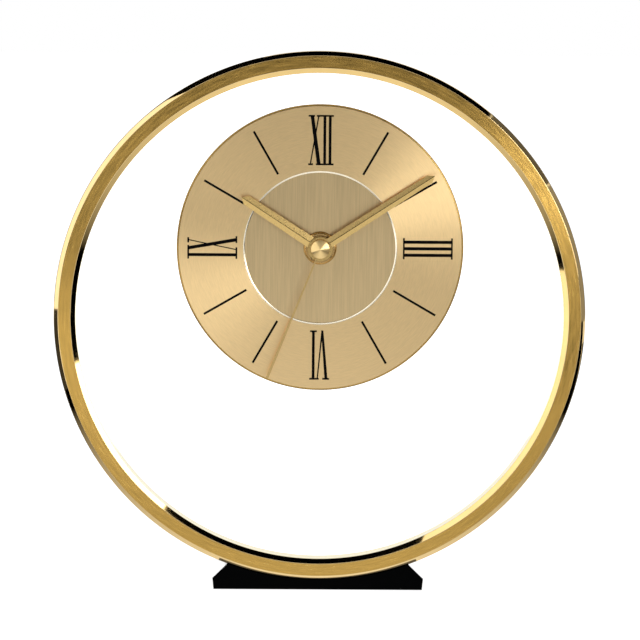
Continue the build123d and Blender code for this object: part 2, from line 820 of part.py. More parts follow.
# Front half of the movement case, with the battery bay, bearing bosses and posts
third_boss_back = centre_layer - layer_gap
rotor_boss_back = intermediate_layer - layer_gap
motion_post_back = motion_layer + wheel_thickness + pinion_overhang
core_left = (-core_half_length + stator_bar_width / 2, coil_height)
core_right = (core_half_length - stator_bar_width / 2, coil_height)
board_posts = [
    (board_right - board_post_inset, board_top - board_post_inset),
    (board_right - board_post_inset, board_bottom + board_post_inset),
]
slot_width = contact_thickness + contact_slot_clearance
pivot_hole_radius = arbor_radius + running_clearance
knob_pivot_back = motion_layer - layer_gap
lug_front = cover_inside - clip_length / 2
with BuildPart() as movement_front_case:
    with BuildSketch(front_view(cover_inside, (0, case_middle))):
        RectangleRounded(2 * case_half, case_height, case_corner)
    extrude(amount=cover_inside - case_front)
    with BuildSketch(front_view(cover_inside)):
        with Locations((0, (gear_room_bottom + case_room) / 2)):
            RectangleRounded(2 * case_room, case_room - gear_room_bottom, case_corner - case_wall)
        with Locations((0, gear_room_bottom + case_corner)):
            Rectangle(2 * case_room, 2 * case_corner)
        with Locations((0, battery_up)):
            Rectangle(2 * case_room, bay_width)
    extrude(amount=cover_inside - case_inside, mode=Mode.SUBTRACT)
    with BuildSketch(front_view(third_boss_back)):
        with Locations(third_spot, intermediate_spot):
            Circle(boss_radius)
    extrude(amount=third_boss_back - case_inside)
    with BuildSketch(front_view(rotor_boss_back, rotor_spot)):
        Circle(boss_radius)
    extrude(amount=rotor_boss_back - case_inside)
    with BuildSketch(front_view(motion_post_back, motion_spot)):
        Circle(arbor_radius * 2)
    extrude(amount=motion_post_back - case_inside)
    with BuildSketch(front_view(knob_pivot_back, knob_spot)):
        Circle(boss_radius)
    extrude(amount=knob_pivot_back - case_inside)
    with BuildSketch(front_view(core_layer)):
        with Locations(core_left, core_right):
            Circle(post_radius)
    extrude(amount=core_layer - case_inside)
    with BuildSketch(front_view(board_layer)):
        with Locations(*board_posts):
            Circle(post_radius)
    extrude(amount=board_layer - case_inside)
    with BuildSketch(front_view(third_boss_back)):
        with Locations(third_spot, intermediate_spot):
            Circle(pivot_hole_radius)
    extrude(amount=pivot_depth + end_shake, mode=Mode.SUBTRACT)
    with BuildSketch(front_view(rotor_boss_back, rotor_spot)):
        Circle(pivot_hole_radius)
    extrude(amount=pivot_depth + end_shake, mode=Mode.SUBTRACT)
    with BuildSketch(front_view(knob_pivot_back, knob_spot)):
        Circle(pivot_hole_radius)
    extrude(amount=pivot_depth / 2 + end_shake, mode=Mode.SUBTRACT)
    with BuildSketch(front_view(core_layer)):
        with Locations(core_left, core_right):
            Circle(core_screw_radius)
    extrude(amount=core_screw_length - core_thickness - stator_thickness, mode=Mode.SUBTRACT)
    with BuildSketch(front_view(cover_inside)):
        for side in (-1, 1):
            with Locations((side * (case_room - slot_width / 2), (bay_top + gear_room_bottom) / 2)):
                Rectangle(slot_width, partition_wall)
    extrude(amount=cover_inside - board_back + contact_slot_clearance, mode=Mode.SUBTRACT)
    with BuildSketch(front_view(case_inside)):
        Circle(bush_flange_radius)
    extrude(amount=bush_flange_thickness, mode=Mode.SUBTRACT)
    with BuildSketch(front_view(case_inside)):
        Circle(bush_radius)
    extrude(amount=case_front_wall, mode=Mode.SUBTRACT)
    with BuildSketch(Plane(origin=(0, cover_inside, dial_z + case_bottom))):
        Circle(finger_notch_radius)
    extrude(amount=case_wall, mode=Mode.SUBTRACT)
    with BuildSketch(front_view(lug_front + lug_height)):
        for side in (-1, 1):
            with Locations((side * (case_half + clip_thickness / 2), clip_height)):
                Rectangle(clip_thickness, lug_width)
    extrude(amount=lug_height)
movement_front_case.part.label = "movement_front_case"
export_step(movement_front_case.part, "parts/movement_front_case.step")

# Lid over the gear room, with a bearing boss for each arbor
lid_boss_front = cover_inside - lid_boss_height
knob_hole_radius = knob_shaft_radius + running_clearance
with BuildPart() as movement_rear_cover:
    with BuildSketch(front_view(case_back)):
        with Locations((0, (bay_top + case_half) / 2)):
            RectangleRounded(2 * case_half, case_half - bay_top, case_corner)
        for side in (-1, 1):
            with Locations((side * (case_half + clip_thickness / 2), clip_height)):
                Rectangle(clip_thickness, clip_width)
    extrude(amount=case_back_wall)
    with BuildSketch(front_view(cover_inside)):
        for side in (-1, 1):
            with Locations((side * (case_half + clip_thickness / 2), clip_height)):
                Rectangle(clip_thickness, clip_width)
    extrude(amount=clip_length)
    with BuildSketch(front_view(lug_front + lug_height + lug_window_clearance)):
        for side in (-1, 1):
            with Locations((side * (case_half + clip_thickness / 2), clip_height)):
                Rectangle(clip_thickness, lug_width + 2 * lug_window_clearance)
    extrude(amount=lug_height + 2 * lug_window_clearance, mode=Mode.SUBTRACT)
    with BuildSketch(front_view(cover_inside)):
        with Locations(middle, third_spot, intermediate_spot, rotor_spot):
            Circle(boss_radius)
    extrude(amount=cover_inside - lid_boss_front)
    with BuildSketch(front_view(lid_boss_front + pivot_depth / 2 + end_shake)):
        with Locations(middle, third_spot, intermediate_spot, rotor_spot):
            Circle(pivot_hole_radius)
    extrude(amount=pivot_depth / 2 + end_shake, mode=Mode.SUBTRACT)
    with BuildSketch(front_view(case_back, knob_spot)):
        Circle(knob_hole_radius)
    extrude(amount=case_back_wall, mode=Mode.SUBTRACT)
movement_rear_cover.part.label = "movement_rear_cover"
export_step(movement_rear_cover.part, "parts/movement_rear_cover.step")

# Arbors run between these depths
front_pivot = third_boss_back - pivot_depth
rear_pivot = lid_boss_front + pivot_depth / 2

# Second wheel: shaft through the middle, wheel at the back and the pinion that drives the third wheel
with BuildPart() as second_wheel:
    with BuildSketch(front_view(rear_pivot)):
        Circle(second_shaft_radius)
    extrude(amount=rear_pivot - shaft_front)
    with BuildSketch(front_view(second_layer + wheel_thickness)):
        with BuildLine():
            Polyline(*gear_points(second_wheel_teeth, second_module, facing(middle, intermediate_spot)), close=True)
        make_face()
    extrude(amount=wheel_thickness)
    with BuildSketch(front_view(second_layer)):
        with BuildLine():
            Polyline(
                *gear_points(second_pinion_teeth, third_module, facing_gap(middle, third_spot, second_pinion_teeth)),
                close=True,
            )
        make_face()
    extrude(amount=second_layer - third_layer + pinion_overhang)
second_wheel.part.label = "second_wheel"
export_step(second_wheel.part, "parts/second_wheel.step")

# Third wheel between the second wheel and the centre wheel
with BuildPart() as third_wheel:
    with BuildSketch(front_view(rear_pivot, third_spot)):
        Circle(arbor_radius)
    extrude(amount=rear_pivot - front_pivot)
    with BuildSketch(front_view(third_layer + wheel_thickness, third_spot)):
        with BuildLine():
            Polyline(*gear_points(third_wheel_teeth, third_module, facing(third_spot, middle)), close=True)
        make_face()
    extrude(amount=wheel_thickness)
    with BuildSketch(front_view(third_layer, third_spot)):
        with BuildLine():
            Polyline(
                *gear_points(third_pinion_teeth, centre_module, facing_gap(third_spot, middle, third_pinion_teeth)),
                close=True,
            )
        make_face()
    extrude(amount=third_layer - centre_layer + pinion_overhang)
third_wheel.part.label = "third_wheel"
export_step(third_wheel.part, "parts/third_wheel.step")

# Centre wheel, pressed on the minute tube with a friction fit
cannon_back = motion_layer + wheel_thickness + pinion_overhang
with BuildPart() as centre_wheel:
    with BuildSketch(front_view(centre_layer + wheel_thickness)):
        with BuildLine():
            Polyline(*gear_points(centre_wheel_teeth, centre_module, facing(middle, third_spot)), close=True)
        make_face()
        Circle(minute_tube_radius, mode=Mode.SUBTRACT)
    extrude(amount=wheel_thickness)
centre_wheel.part.label = "centre_wheel"
export_step(centre_wheel.part, "parts/centre_wheel.step")

# Minute tube with the cannon pinion
minute_tube_front = minute_hand_front - tube_end
with BuildPart() as minute_tube:
    with BuildSketch(front_view(centre_layer + wheel_thickness)):
        Circle(minute_tube_radius)
    extrude(amount=centre_layer + wheel_thickness - minute_tube_front)
    with BuildSketch(front_view(cannon_back)):
        with BuildLine():
            Polyline(
                *gear_points(cannon_pinion_teeth, motion_module, facing_gap(middle, motion_spot, cannon_pinion_teeth)),
                close=True,
            )
        make_face()
    extrude(amount=wheel_thickness + 2 * pinion_overhang)
    with BuildSketch(front_view(centre_layer + wheel_thickness)):
        Circle(minute_tube_bore)
    extrude(amount=centre_layer + wheel_thickness - minute_tube_front, mode=Mode.SUBTRACT)
minute_tube.part.label = "minute_tube"
export_step(minute_tube.part, "parts/minute_tube.step")

# Motion wheel, turning on a post of the case
with BuildPart() as motion_wheel:
    with BuildSketch(front_view(motion_layer + wheel_thickness, motion_spot)):
        with BuildLine():
            Polyline(*gear_points(motion_wheel_teeth, motion_module, facing(motion_spot, middle)), close=True)
        make_face()
    extrude(amount=wheel_thickness)
    with BuildSketch(front_view(motion_layer, motion_spot)):
        with BuildLine():
            Polyline(
                *gear_points(motion_pinion_teeth, hour_module, facing_gap(motion_spot, middle, motion_pinion_teeth)),
                close=True,
            )
        make_face()
    extrude(amount=motion_layer - hour_layer + pinion_overhang)
    with BuildSketch(front_view(motion_layer + wheel_thickness, motion_spot)):
        Circle(arbor_radius * 2 + running_clearance)
    extrude(amount=layer_pitch * 2, mode=Mode.SUBTRACT)
motion_wheel.part.label = "motion_wheel"
export_step(motion_wheel.part, "parts/motion_wheel.step")

# Hour wheel and tube
hour_tube_front = hour_hand_front - tube_end
with BuildPart() as hour_wheel:
    with BuildSketch(front_view(hour_layer + wheel_thickness)):
        with BuildLine():
            Polyline(*gear_points(hour_wheel_teeth, hour_module, facing(middle, motion_spot)), close=True)
        make_face()
    extrude(amount=wheel_thickness)
    with BuildSketch(front_view(hour_layer)):
        Circle(hour_tube_radius)
    extrude(amount=hour_layer - hour_tube_front)
    with BuildSketch(front_view(hour_layer + wheel_thickness)):
        Circle(hour_tube_bore)
    extrude(amount=hour_layer + wheel_thickness - hour_tube_front, mode=Mode.SUBTRACT)
hour_wheel.part.label = "hour_wheel"
export_step(hour_wheel.part, "parts/hour_wheel.step")

# Intermediate wheel between the rotor and the second wheel
with BuildPart() as intermediate_wheel:
    with BuildSketch(front_view(rear_pivot, intermediate_spot)):
        Circle(arbor_radius)
    extrude(amount=rear_pivot - front_pivot)
    with BuildSketch(front_view(intermediate_layer + wheel_thickness, intermediate_spot)):
        with BuildLine():
            Polyline(
                *gear_points(intermediate_wheel_teeth, intermediate_module, facing(intermediate_spot, rotor_spot)),
                close=True,
            )
        make_face()
    extrude(amount=wheel_thickness)
    with BuildSketch(front_view(intermediate_layer, intermediate_spot)):
        with BuildLine():
            Polyline(
                *gear_points(
                    intermediate_pinion_teeth,
                    second_module,
                    facing_gap(intermediate_spot, middle, intermediate_pinion_teeth),
                ),
                close=True,
            )
        make_face()
    extrude(amount=intermediate_layer - second_layer + pinion_overhang)
intermediate_wheel.part.label = "intermediate_wheel"
export_step(intermediate_wheel.part, "parts/intermediate_wheel.step")

# Rotor arbor and pinion
with BuildPart() as rotor:
    with BuildSketch(front_view(rear_pivot, rotor_spot)):
        Circle(arbor_radius)
    extrude(amount=rear_pivot - rotor_boss_back + pivot_depth)
    with BuildSketch(front_view(magnet_layer, rotor_spot)):
        with BuildLine():
            Polyline(
                *gear_points(
                    rotor_pinion_teeth,
                    intermediate_module,
                    facing_gap(rotor_spot, intermediate_spot, rotor_pinion_teeth),
                ),
                close=True,
            )
        make_face()
    extrude(amount=magnet_layer - intermediate_layer + pinion_overhang)
rotor.part.label = "rotor"
export_step(rotor.part, "parts/rotor.step")

# Rotor magnet
with BuildPart() as rotor_magnet:
    with BuildSketch(front_view(magnet_layer + magnet_length, rotor_spot)):
        Circle(magnet_radius)
        Circle(arbor_radius, mode=Mode.SUBTRACT)
    extrude(amount=magnet_length)
rotor_magnet.part.label = "rotor_magnet"
export_step(rotor_magnet.part, "parts/rotor_magnet.step")

# Stator plate round the rotor, with an arm to each end of the coil core
stator_hole = magnet_radius + magnet_air_gap
stator_reach = stator_hole + stator_rim
arm_top = coil_height + stator_bar_width / 2
bar_bottom = rotor_spot[1] + stator_hole
with BuildPart() as stator:
    with BuildSketch(front_view(stator_layer + stator_thickness)):
        with Locations(rotor_spot):
            Circle(stator_reach)
        with Locations(((rotor_spot[0] - core_half_length) / 2, bar_bottom + stator_bar_width / 2)):
            Rectangle(rotor_spot[0] + core_half_length, stator_bar_width)
        with Locations((core_left[0], (arm_top + bar_bottom) / 2)):
            Rectangle(stator_bar_width, arm_top - bar_bottom)
        with Locations((core_right[0], (arm_top + rotor_spot[1]) / 2)):
            Rectangle(stator_bar_width, arm_top - rotor_spot[1])
        with Locations(rotor_spot):
            Circle(stator_hole, mode=Mode.SUBTRACT)
        with Locations(core_left, core_right):
            Circle(core_screw_radius, mode=Mode.SUBTRACT)
    extrude(amount=stator_thickness)
stator.part.label = "stator"
export_step(stator.part, "parts/stator.step")

# Coil core, a flat bar in front of the stator's arms
with BuildPart() as coil_core:
    with BuildSketch(front_view(stator_layer)):
        with Locations((0, coil_height)):
            Rectangle(2 * core_half_length, core_height)
        with Locations(core_left, core_right):
            Circle(core_screw_radius, mode=Mode.SUBTRACT)
    extrude(amount=core_thickness)
coil_core.part.label = "coil_core"
export_step(coil_core.part, "parts/coil_core.step")


def across_view(x):
    """Plane seen from the right at a distance across, with +Y to the right and +Z up."""
    return Plane(origin=(x, coil_y, dial_z + coil_height), x_dir=(0, 1, 0), z_dir=(1, 0, 0))


# Bobbin and winding
bobbin_bore_depth = core_thickness + 2 * core_clearance
bobbin_bore_height = core_height + 2 * core_clearance
bobbin_tube_depth = bobbin_bore_depth + 2 * bobbin_tube_wall
bobbin_tube_height = bobbin_bore_height + 2 * bobbin_tube_wall
with BuildPart() as coil_bobbin:
    with BuildSketch(across_view(-coil_half_length)):
        Rectangle(bobbin_tube_depth, bobbin_tube_height)
    extrude(amount=2 * coil_half_length)
    for flange_left in (-coil_half_length, coil_half_length - bobbin_flange):
        with BuildSketch(across_view(flange_left)):
            Circle(bobbin_flange_radius)
        extrude(amount=bobbin_flange)
    with BuildSketch(across_view(-coil_half_length)):
        Rectangle(bobbin_bore_depth, bobbin_bore_height)
    extrude(amount=2 * coil_half_length, mode=Mode.SUBTRACT)
coil_bobbin.part.label = "coil_bobbin"
export_step(coil_bobbin.part, "parts/coil_bobbin.step")

with BuildPart() as coil_winding:
    with BuildSketch(across_view(-coil_half_length + bobbin_flange)):
        Circle(coil_radius)
        Rectangle(bobbin_tube_depth, bobbin_tube_height, mode=Mode.SUBTRACT)
    extrude(amount=2 * (coil_half_length - bobbin_flange))
coil_winding.part.label = "coil_winding"
export_step(coil_winding.part, "parts/coil_winding.step")

# Screws that hold the stator and the core to the case
screw_back = stator_layer + stator_thickness
with BuildPart() as core_screws:
    with BuildSketch(front_view(screw_back)):
        with Locations(core_left, core_right):
            Circle(core_screw_radius)
    extrude(amount=core_screw_length)
    with BuildSketch(front_view(screw_back + core_screw_head_height)):
        with Locations(core_left, core_right):
            Circle(core_screw_head_radius)
    extrude(amount=core_screw_head_height)
core_screws.part.label = "core_screws"
export_step(core_screws.part, "parts/core_screws.step")

# Circuit board with the chip and the quartz crystal on its front
with BuildPart() as circuit_board:
    with BuildSketch(front_view(board_layer + board_thickness)):
        with Locations(((board_left + board_right) / 2, (board_top + board_bottom) / 2)):
            Rectangle(board_right - board_left, board_top - board_bottom)
    extrude(amount=board_thickness)
circuit_board.part.label = "circuit_board"
export_step(circuit_board.part, "parts/circuit_board.step")

with BuildPart() as clock_chip:
    with BuildSketch(front_view(board_layer)):
        with Locations((board_left + board_part_inset + chip_size / 2, board_top - board_part_inset - chip_size / 2)):
            Rectangle(chip_size, chip_size)
    extrude(amount=chip_thickness)
clock_chip.part.label = "clock_chip"
export_step(clock_chip.part, "parts/clock_chip.step")

crystal_plane = Plane(
    origin=(
        board_left + board_part_inset,
        board_layer - crystal_radius,
        dial_z + board_bottom + board_part_inset + crystal_radius,
    ),
    x_dir=(0, 1, 0),
    z_dir=(1, 0, 0),
)
with BuildPart() as quartz_crystal:
    with BuildSketch(crystal_plane):
        Circle(crystal_radius)
    extrude(amount=crystal_length)
quartz_crystal.part.label = "quartz_crystal"
export_step(quartz_crystal.part, "parts/quartz_crystal.step")

# Battery along the bay, with its positive end to the right
with BuildPart() as battery:
    with BuildSketch(battery_plane.offset(battery_left)):
        Circle(battery_radius)
    extrude(amount=battery_length - battery_nub_length)
    with BuildSketch(battery_plane.offset(battery_right - battery_nub_length)):
        Circle(battery_nub_radius)
    extrude(amount=battery_nub_length)
battery.part.label = "battery"
export_step(battery.part, "parts/battery.step")

# Positive contact: a strip up the right wall with a boss for the battery's nub and a tongue on the circuit board
with BuildPart() as positive_contact:
    with BuildSketch(front_view(contact_back)):
        with Locations((case_room - contact_thickness / 2, battery_up)):
            Rectangle(contact_thickness, contact_width)
    extrude(amount=contact_back - contact_front)
    with BuildSketch(battery_plane.offset(battery_right)):
        Circle(contact_boss_radius)
    extrude(amount=case_room - battery_right)
    with BuildSketch(front_view(contact_back)):
        with Locations((case_room - contact_thickness / 2, (battery_up + tongue_up) / 2)):
            Rectangle(contact_thickness, tongue_up - battery_up)
    extrude(amount=contact_back - board_back)
    with BuildSketch(front_view(board_back + contact_thickness)):
        with Locations((case_room - tongue_length / 2, tongue_up - contact_width / 4)):
            Rectangle(tongue_length, contact_width / 2)
    extrude(amount=contact_thickness)
positive_contact.part.label = "positive_contact"
export_step(positive_contact.part, "parts/positive_contact.step")

# Negative contact: a bent leaf against the battery, and a strip along the partition to the circuit board
strip_end = board_left + tongue_length
with BuildPart() as negative_contact:
    with BuildSketch(front_view(contact_back, (0, battery_up))):
        with BuildLine():
            Polyline(
                (-case_room, -contact_width / 2),
                (-case_room + contact_thickness, -contact_width / 2),
                (-case_room + contact_thickness, contact_width / 2 - contact_thickness),
                (battery_left - contact_thickness, contact_width / 10),
                (battery_left - contact_thickness, -contact_width / 10),
                (battery_left, -contact_width / 10),
                (battery_left, contact_width / 10),
                (-case_room + contact_thickness, contact_width / 2),
                (-case_room, contact_width / 2),
                close=True,
            )
        make_face()
    extrude(amount=contact_back - contact_front)
    with BuildSketch(front_view(contact_back)):
        with Locations((-case_room + contact_thickness / 2, (battery_up + gear_room_bottom) / 2)):
            Rectangle(contact_thickness, gear_room_bottom - battery_up)
        with Locations(((strip_end - case_room) / 2, gear_room_bottom + contact_thickness / 2)):
            Rectangle(strip_end + case_room, contact_thickness)
    extrude(amount=contact_back - board_back)
    with BuildSketch(front_view(board_back + contact_thickness)):
        with Locations((strip_end - tongue_length / 2, (gear_room_bottom + board_bottom + tongue_length) / 2)):
            Rectangle(tongue_length, board_bottom + tongue_length - gear_room_bottom)
    extrude(amount=contact_thickness)
negative_contact.part.label = "negative_contact"
export_step(negative_contact.part, "parts/negative_contact.step")

# Setting knob: fluted wheel behind the case, and a shaft to the pinion that turns the motion wheel
knob_front = case_back + knob_lift
with BuildPart() as setting_knob:
    with BuildSketch(front_view(knob_front + knob_height, knob_spot)):
        Circle(knob_radius)
        with PolarLocations(knob_radius, knob_flutes):
            Circle(knob_flute_radius, mode=Mode.SUBTRACT)
    extrude(amount=knob_height)
    with BuildSketch(front_view(knob_front, knob_spot)):
        Circle(knob_shaft_radius)
    extrude(amount=knob_front - motion_layer)
    with BuildSketch(front_view(motion_layer, knob_spot)):
        Circle(arbor_radius)
    extrude(amount=motion_layer - knob_pivot_back + pivot_depth / 2)
    with BuildSketch(front_view(motion_layer + wheel_thickness + pinion_overhang, knob_spot)):
        with BuildLine():
            Polyline(
                *gear_points(knob_pinion_teeth, motion_module, facing_gap(knob_spot, motion_spot, knob_pinion_teeth)),
                close=True,
            )
        make_face()
    extrude(amount=wheel_thickness + 2 * pinion_overhang)
setting_knob.part.label = "setting_knob"
export_step(setting_knob.part, "parts/setting_knob.step")
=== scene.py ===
"""Looks of a round open-hoop mantel clock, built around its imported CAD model.

Everything stands in the CAD's own frame, in metres, with the dial facing -Y.
"""

from math import cos, hypot, radians, sin, tau

import bmesh
import bpy
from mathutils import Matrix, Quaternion, Vector


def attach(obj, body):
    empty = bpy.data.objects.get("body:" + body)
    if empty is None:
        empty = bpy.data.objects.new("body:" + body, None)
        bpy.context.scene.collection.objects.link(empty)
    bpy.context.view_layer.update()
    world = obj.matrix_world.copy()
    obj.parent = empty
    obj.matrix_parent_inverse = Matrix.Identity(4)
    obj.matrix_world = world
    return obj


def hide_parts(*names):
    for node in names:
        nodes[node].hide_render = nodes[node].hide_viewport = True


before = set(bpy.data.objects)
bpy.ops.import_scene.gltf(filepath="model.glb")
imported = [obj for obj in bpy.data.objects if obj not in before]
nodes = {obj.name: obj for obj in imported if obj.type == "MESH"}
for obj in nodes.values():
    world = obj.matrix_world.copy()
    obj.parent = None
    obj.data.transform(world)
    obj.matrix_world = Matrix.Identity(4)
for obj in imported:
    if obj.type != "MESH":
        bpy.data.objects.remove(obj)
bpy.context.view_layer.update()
scene = bpy.context.scene

# Sizes in millimetres, as the CAD has them
mm = 0.001
hoop_front = -18.775
hoop_z = 109.2
dial_z = 136.6

# Profiles, as radii and depths behind the hoop's front
hoop_profile = [
    (96.4, 1.55), (98.25, 0.0), (103.15, 0.0), (104.62, 1.23), (105.0, 1.95), (105.0, 12.8), (103.8, 14.0),
    (98.8, 14.0), (98.8, 12.8), (99.6, 12.8), (99.6, 11.5), (98.8, 11.5), (98.8, 8.5), (96.4, 8.5),
]
chapter_profile = [
    (29.8, 7.7), (29.8, 7.3), (30.4, 7.0), (56.0, 7.0), (56.45, 7.15), (56.7, 7.4), (56.8, 7.7),
]
plate_profile = [(4.2, 8.45), (4.2, 7.7), (56.8, 7.7), (56.8, 8.45)]
cap_profile = [
    (0.0, 0.25), (0.5, 0.25), (0.5, 0.85), (3.7, 0.85), (3.7, 0.35), (0.2, -1.447), (0.0, -1.55),
]

# Radii at which the turned pieces change their finish
hoop_bore = 96.5
hoop_inner_bevel_edge = 98.2
chapter_rim_inside = 50.0

# Cell, lying across the clock, as radii and places from left to right
cell_y = 2.225
cell_z = 117.603
cell_profile = [
    (0.0, -25.0), (6.5, -25.0), (6.9, -24.8), (7.25, -24.2), (7.25, 12.0), (7.25, 23.3), (6.8, 24.2),
    (2.7, 24.2), (2.7, 25.2), (2.4, 25.5), (0.0, 25.5),
]
cell_sleeve_span = (-24.0, 12.0)
cell_band_span = (12.0, 23.3)

# Marks moulded on the movement's lid, seen from the front
lid_back = 9.525
lid_sink = 0.1
mark_height = 0.3
mark_width = 0.8
knob_x = -19.2
knob_z = 136.6
knob_ring = (6.3, 7.1)
arrow_radius = 8.7
arrow_span = (128.0, 25.0)
arrow_head_width = 2.6
arrow_head_turn = 20.0
plus_x = 21.0
minus_x = -21.0
pole_mark_z = 127.4
pole_mark_size = 2.8
lid_field = ((-12.0, 149.0), (16.0, 160.0))

# Widths of the rounded edges, and of the flats on the ridges of the hands, which carry a painted shadow
edge_widths = {
    "hoop": 0.12, "base": 0.3, "spring": 0.2, "plate": 0.08, "chapter": 0.05, "nut": 0.08, "hand": 0.05,
    "cap": 0.12, "case": 0.2, "knob": 0.12, "contact": 0.06, "mark": 0.08,
}
crease_widths = {"hour_hand": 0.34, "minute_hand": 0.16}

# Steps that a spin takes
hoop_steps = 360
chapter_steps = 300
plate_steps = 240
cap_steps = 96
cell_steps = 64
knob_ring_steps = 72
arrow_steps = 24

# Angles in degrees: of edges to round, to shade sharp or to take for a ridge, and within one plane
rounded_angle = 25.0
hand_rounded_angle = 30.0
sharp_angle = 30.0
ridge_angle = 10.0
plane_angle = 0.3

# Limits on where a face looks: along a direction, to the front on a ridge, and aside on a wall
same_direction = 0.999
ridge_facing = -0.8
wall_facing = -0.3
to_front = (0.0, -1.0, 0.0)
base_shoulder = (0.70, 0.714)

# Distances in metres within which points are merged
spin_merge = 1e-7
copy_merge = 1e-6

# Noise of the finishes, and the strength of the relief that it gives
noise_detail = 3.0
brushed_detail = 4.0
noise_roughness = 0.55
noise_low = 0.3
noise_high = 0.7
marks_around = 14.0
mottled_bump = 1.0
turned_bump = 0.25
brushed_bump = 0.35


# Nodes of a finish


def fresh_tree(owner):
    """Empty node tree of a material or a world."""
    owner.use_nodes = True
    owner.node_tree.nodes.clear()
    return owner.node_tree


def add_node(tree, kind, inputs=(), **settings):
    """A node with its settings, and inputs given as values or as other nodes' sockets."""
    made = tree.nodes.new("ShaderNode" + kind)
    for name, value in settings.items():
        setattr(made, name, value)
    for key, value in dict(inputs).items():
        if isinstance(value, bpy.types.NodeSocket):
            tree.links.new(value, made.inputs[key])
        else:
            made.inputs[key].default_value = value
    return made


class Finish:
    """One material: a Principled shader with the nodes that feed it."""

    def __init__(self, name, colour, roughness, metallic=0.0, **sockets):
        self.material = bpy.data.materials.new(name)
        self.material.diffuse_color = (*colour, 1.0)
        self.tree = fresh_tree(self.material)
        values = {"Base Color": (*colour, 1.0), "Roughness": roughness, "Metallic": metallic}
        for socket, value in sockets.items():
            values[socket.replace("_", " ")] = value
        self.shader = self.node("BsdfPrincipled", values)
        self.node("OutputMaterial", {"Surface": self.shader.outputs["BSDF"]})

    def node(self, kind, inputs=(), **settings):
        """A node of this finish."""
        return add_node(self.tree, kind, inputs, **settings)

    def feed(self, socket, source):
        """Links a node's socket to the shader."""
        self.tree.links.new(source, self.shader.inputs[socket])

    def place(self):
        """Place on the piece, in metres."""
        return self.node("TexCoord").outputs["Object"]

    def noise(self, where, detail):
        """Noise at a place."""
        inputs = {"Vector": where, "Scale": 1.0, "Detail": detail, "Roughness": noise_roughness}
        return self.node("TexNoise", inputs).outputs["Fac"]

    def stretched_noise(self, marks, detail=noise_detail):
        """Noise with its own number of marks to the metre along each axis."""
        mapped = self.node("Mapping", {"Vector": self.place(), "Scale": marks})
        return self.noise(mapped.outputs[0], detail)

    def from_axis(self, centre_z):
        """Vector from a front-to-back axis to the surface, with no depth."""
        shifted = self.node("Mapping", {"Vector": self.place(), "Location": (0.0, 0.0, -centre_z * mm)})
        flat = self.node("VectorMath", {0: shifted.outputs[0], 1: (1.0, 0.0, 1.0)}, operation="MULTIPLY")
        return flat.outputs[0]

    def turned_noise(self, centre_z, lines):
        """Noise drawn out round an axis, with its lines to the millimetre, and the way out from there."""
        spoke = self.from_axis(centre_z)
        radius = self.node("VectorMath", {0: spoke}, operation="LENGTH").outputs["Value"]
        outwards = self.node("VectorMath", {0: spoke}, operation="NORMALIZE").outputs[0]
        ring = self.node("VectorMath", {0: outwards, "Scale": marks_around}, operation="SCALE").outputs[0]
        line = self.node("Math", {0: radius, 1: lines / mm}, operation="MULTIPLY").outputs[0]
        height = self.node("CombineXYZ", {"Y": line}).outputs[0]
        where = self.node("VectorMath", {0: ring, 1: height}, operation="ADD").outputs[0]
        return self.noise(where, noise_detail), outwards

    def spread(self, factor, low, high):
        """Number that runs from low to high with the middle of a noise."""
        ends = {"From Min": noise_low, "From Max": noise_high, "To Min": low, "To Max": high}
        return self.node("MapRange", {"Value": factor, **ends}).outputs["Result"]

    def shade(self, factor, dark, light):
        """Base colour between two colours."""
        colours = {0: self.spread(factor, 0.0, 1.0), 6: (*dark, 1.0), 7: (*light, 1.0)}
        mixed = self.node("Mix", colours, data_type="RGBA")
        self.feed("Base Color", mixed.outputs[2])

    def rough(self, factor, low, high):
        """Roughness between two levels."""
        self.feed("Roughness", self.spread(factor, low, high))

    def grain(self, factor, colour, roughness, contrast):
        """Colour and roughness that vary by a contrast."""
        self.shade(factor, tone(colour, 1 - contrast), tone(colour, 1 + contrast))
        self.rough(factor, roughness * (1 - contrast), roughness * (1 + contrast))

    def bump(self, factor, strength, depth):
        """Relief of a depth in millimetres."""
        relief = self.node("Bump", {"Height": factor, "Strength": strength, "Distance": depth * mm})
        self.feed("Normal", relief.outputs[0])


def tone(colour, share):
    """Colour made darker or lighter."""
    return tuple(min(1.0, channel * share) for channel in colour)


def mottled(name, colour, roughness, grain, contrast, metallic=0.0, relief=0.0, **sockets):
    """Even finish with a fine grain: its size in millimetres and its contrast."""
    finish = Finish(name, colour, roughness, metallic, **sockets)
    marks = 1.0 / (grain * mm)
    noise = finish.stretched_noise((marks, marks, marks))
    finish.grain(noise, colour, roughness, contrast)
    if relief:
        finish.bump(noise, mottled_bump, relief)
    return finish.material


def metal(name, colour, roughness, grain, contrast, relief=0.0):
    """Even metal with a fine grain."""
    return mottled(name, colour, roughness, grain, contrast, metallic=1.0, relief=relief)


def turned(name, colour, centre_z, roughness, lines, contrast, anisotropy, relief):
    """Metal brushed or turned round an axis, with its gloss drawn out across the marks."""
    finish = Finish(name, colour, roughness, 1.0, Anisotropic=anisotropy)
    noise, outwards = finish.turned_noise(centre_z, lines)
    finish.grain(noise, colour, roughness, contrast)
    finish.bump(noise, turned_bump, relief)
    finish.feed("Tangent", outwards)
    return finish.material


def brushed(name, colour, roughness, marks, contrast, relief):
    """Metal brushed straight, with its marks to the metre along each axis."""
    finish = Finish(name, colour, roughness, 1.0)
    noise = finish.stretched_noise(marks, brushed_detail)
    finish.grain(noise, colour, roughness, contrast)
    finish.bump(noise, brushed_bump, relief)
    return finish.material
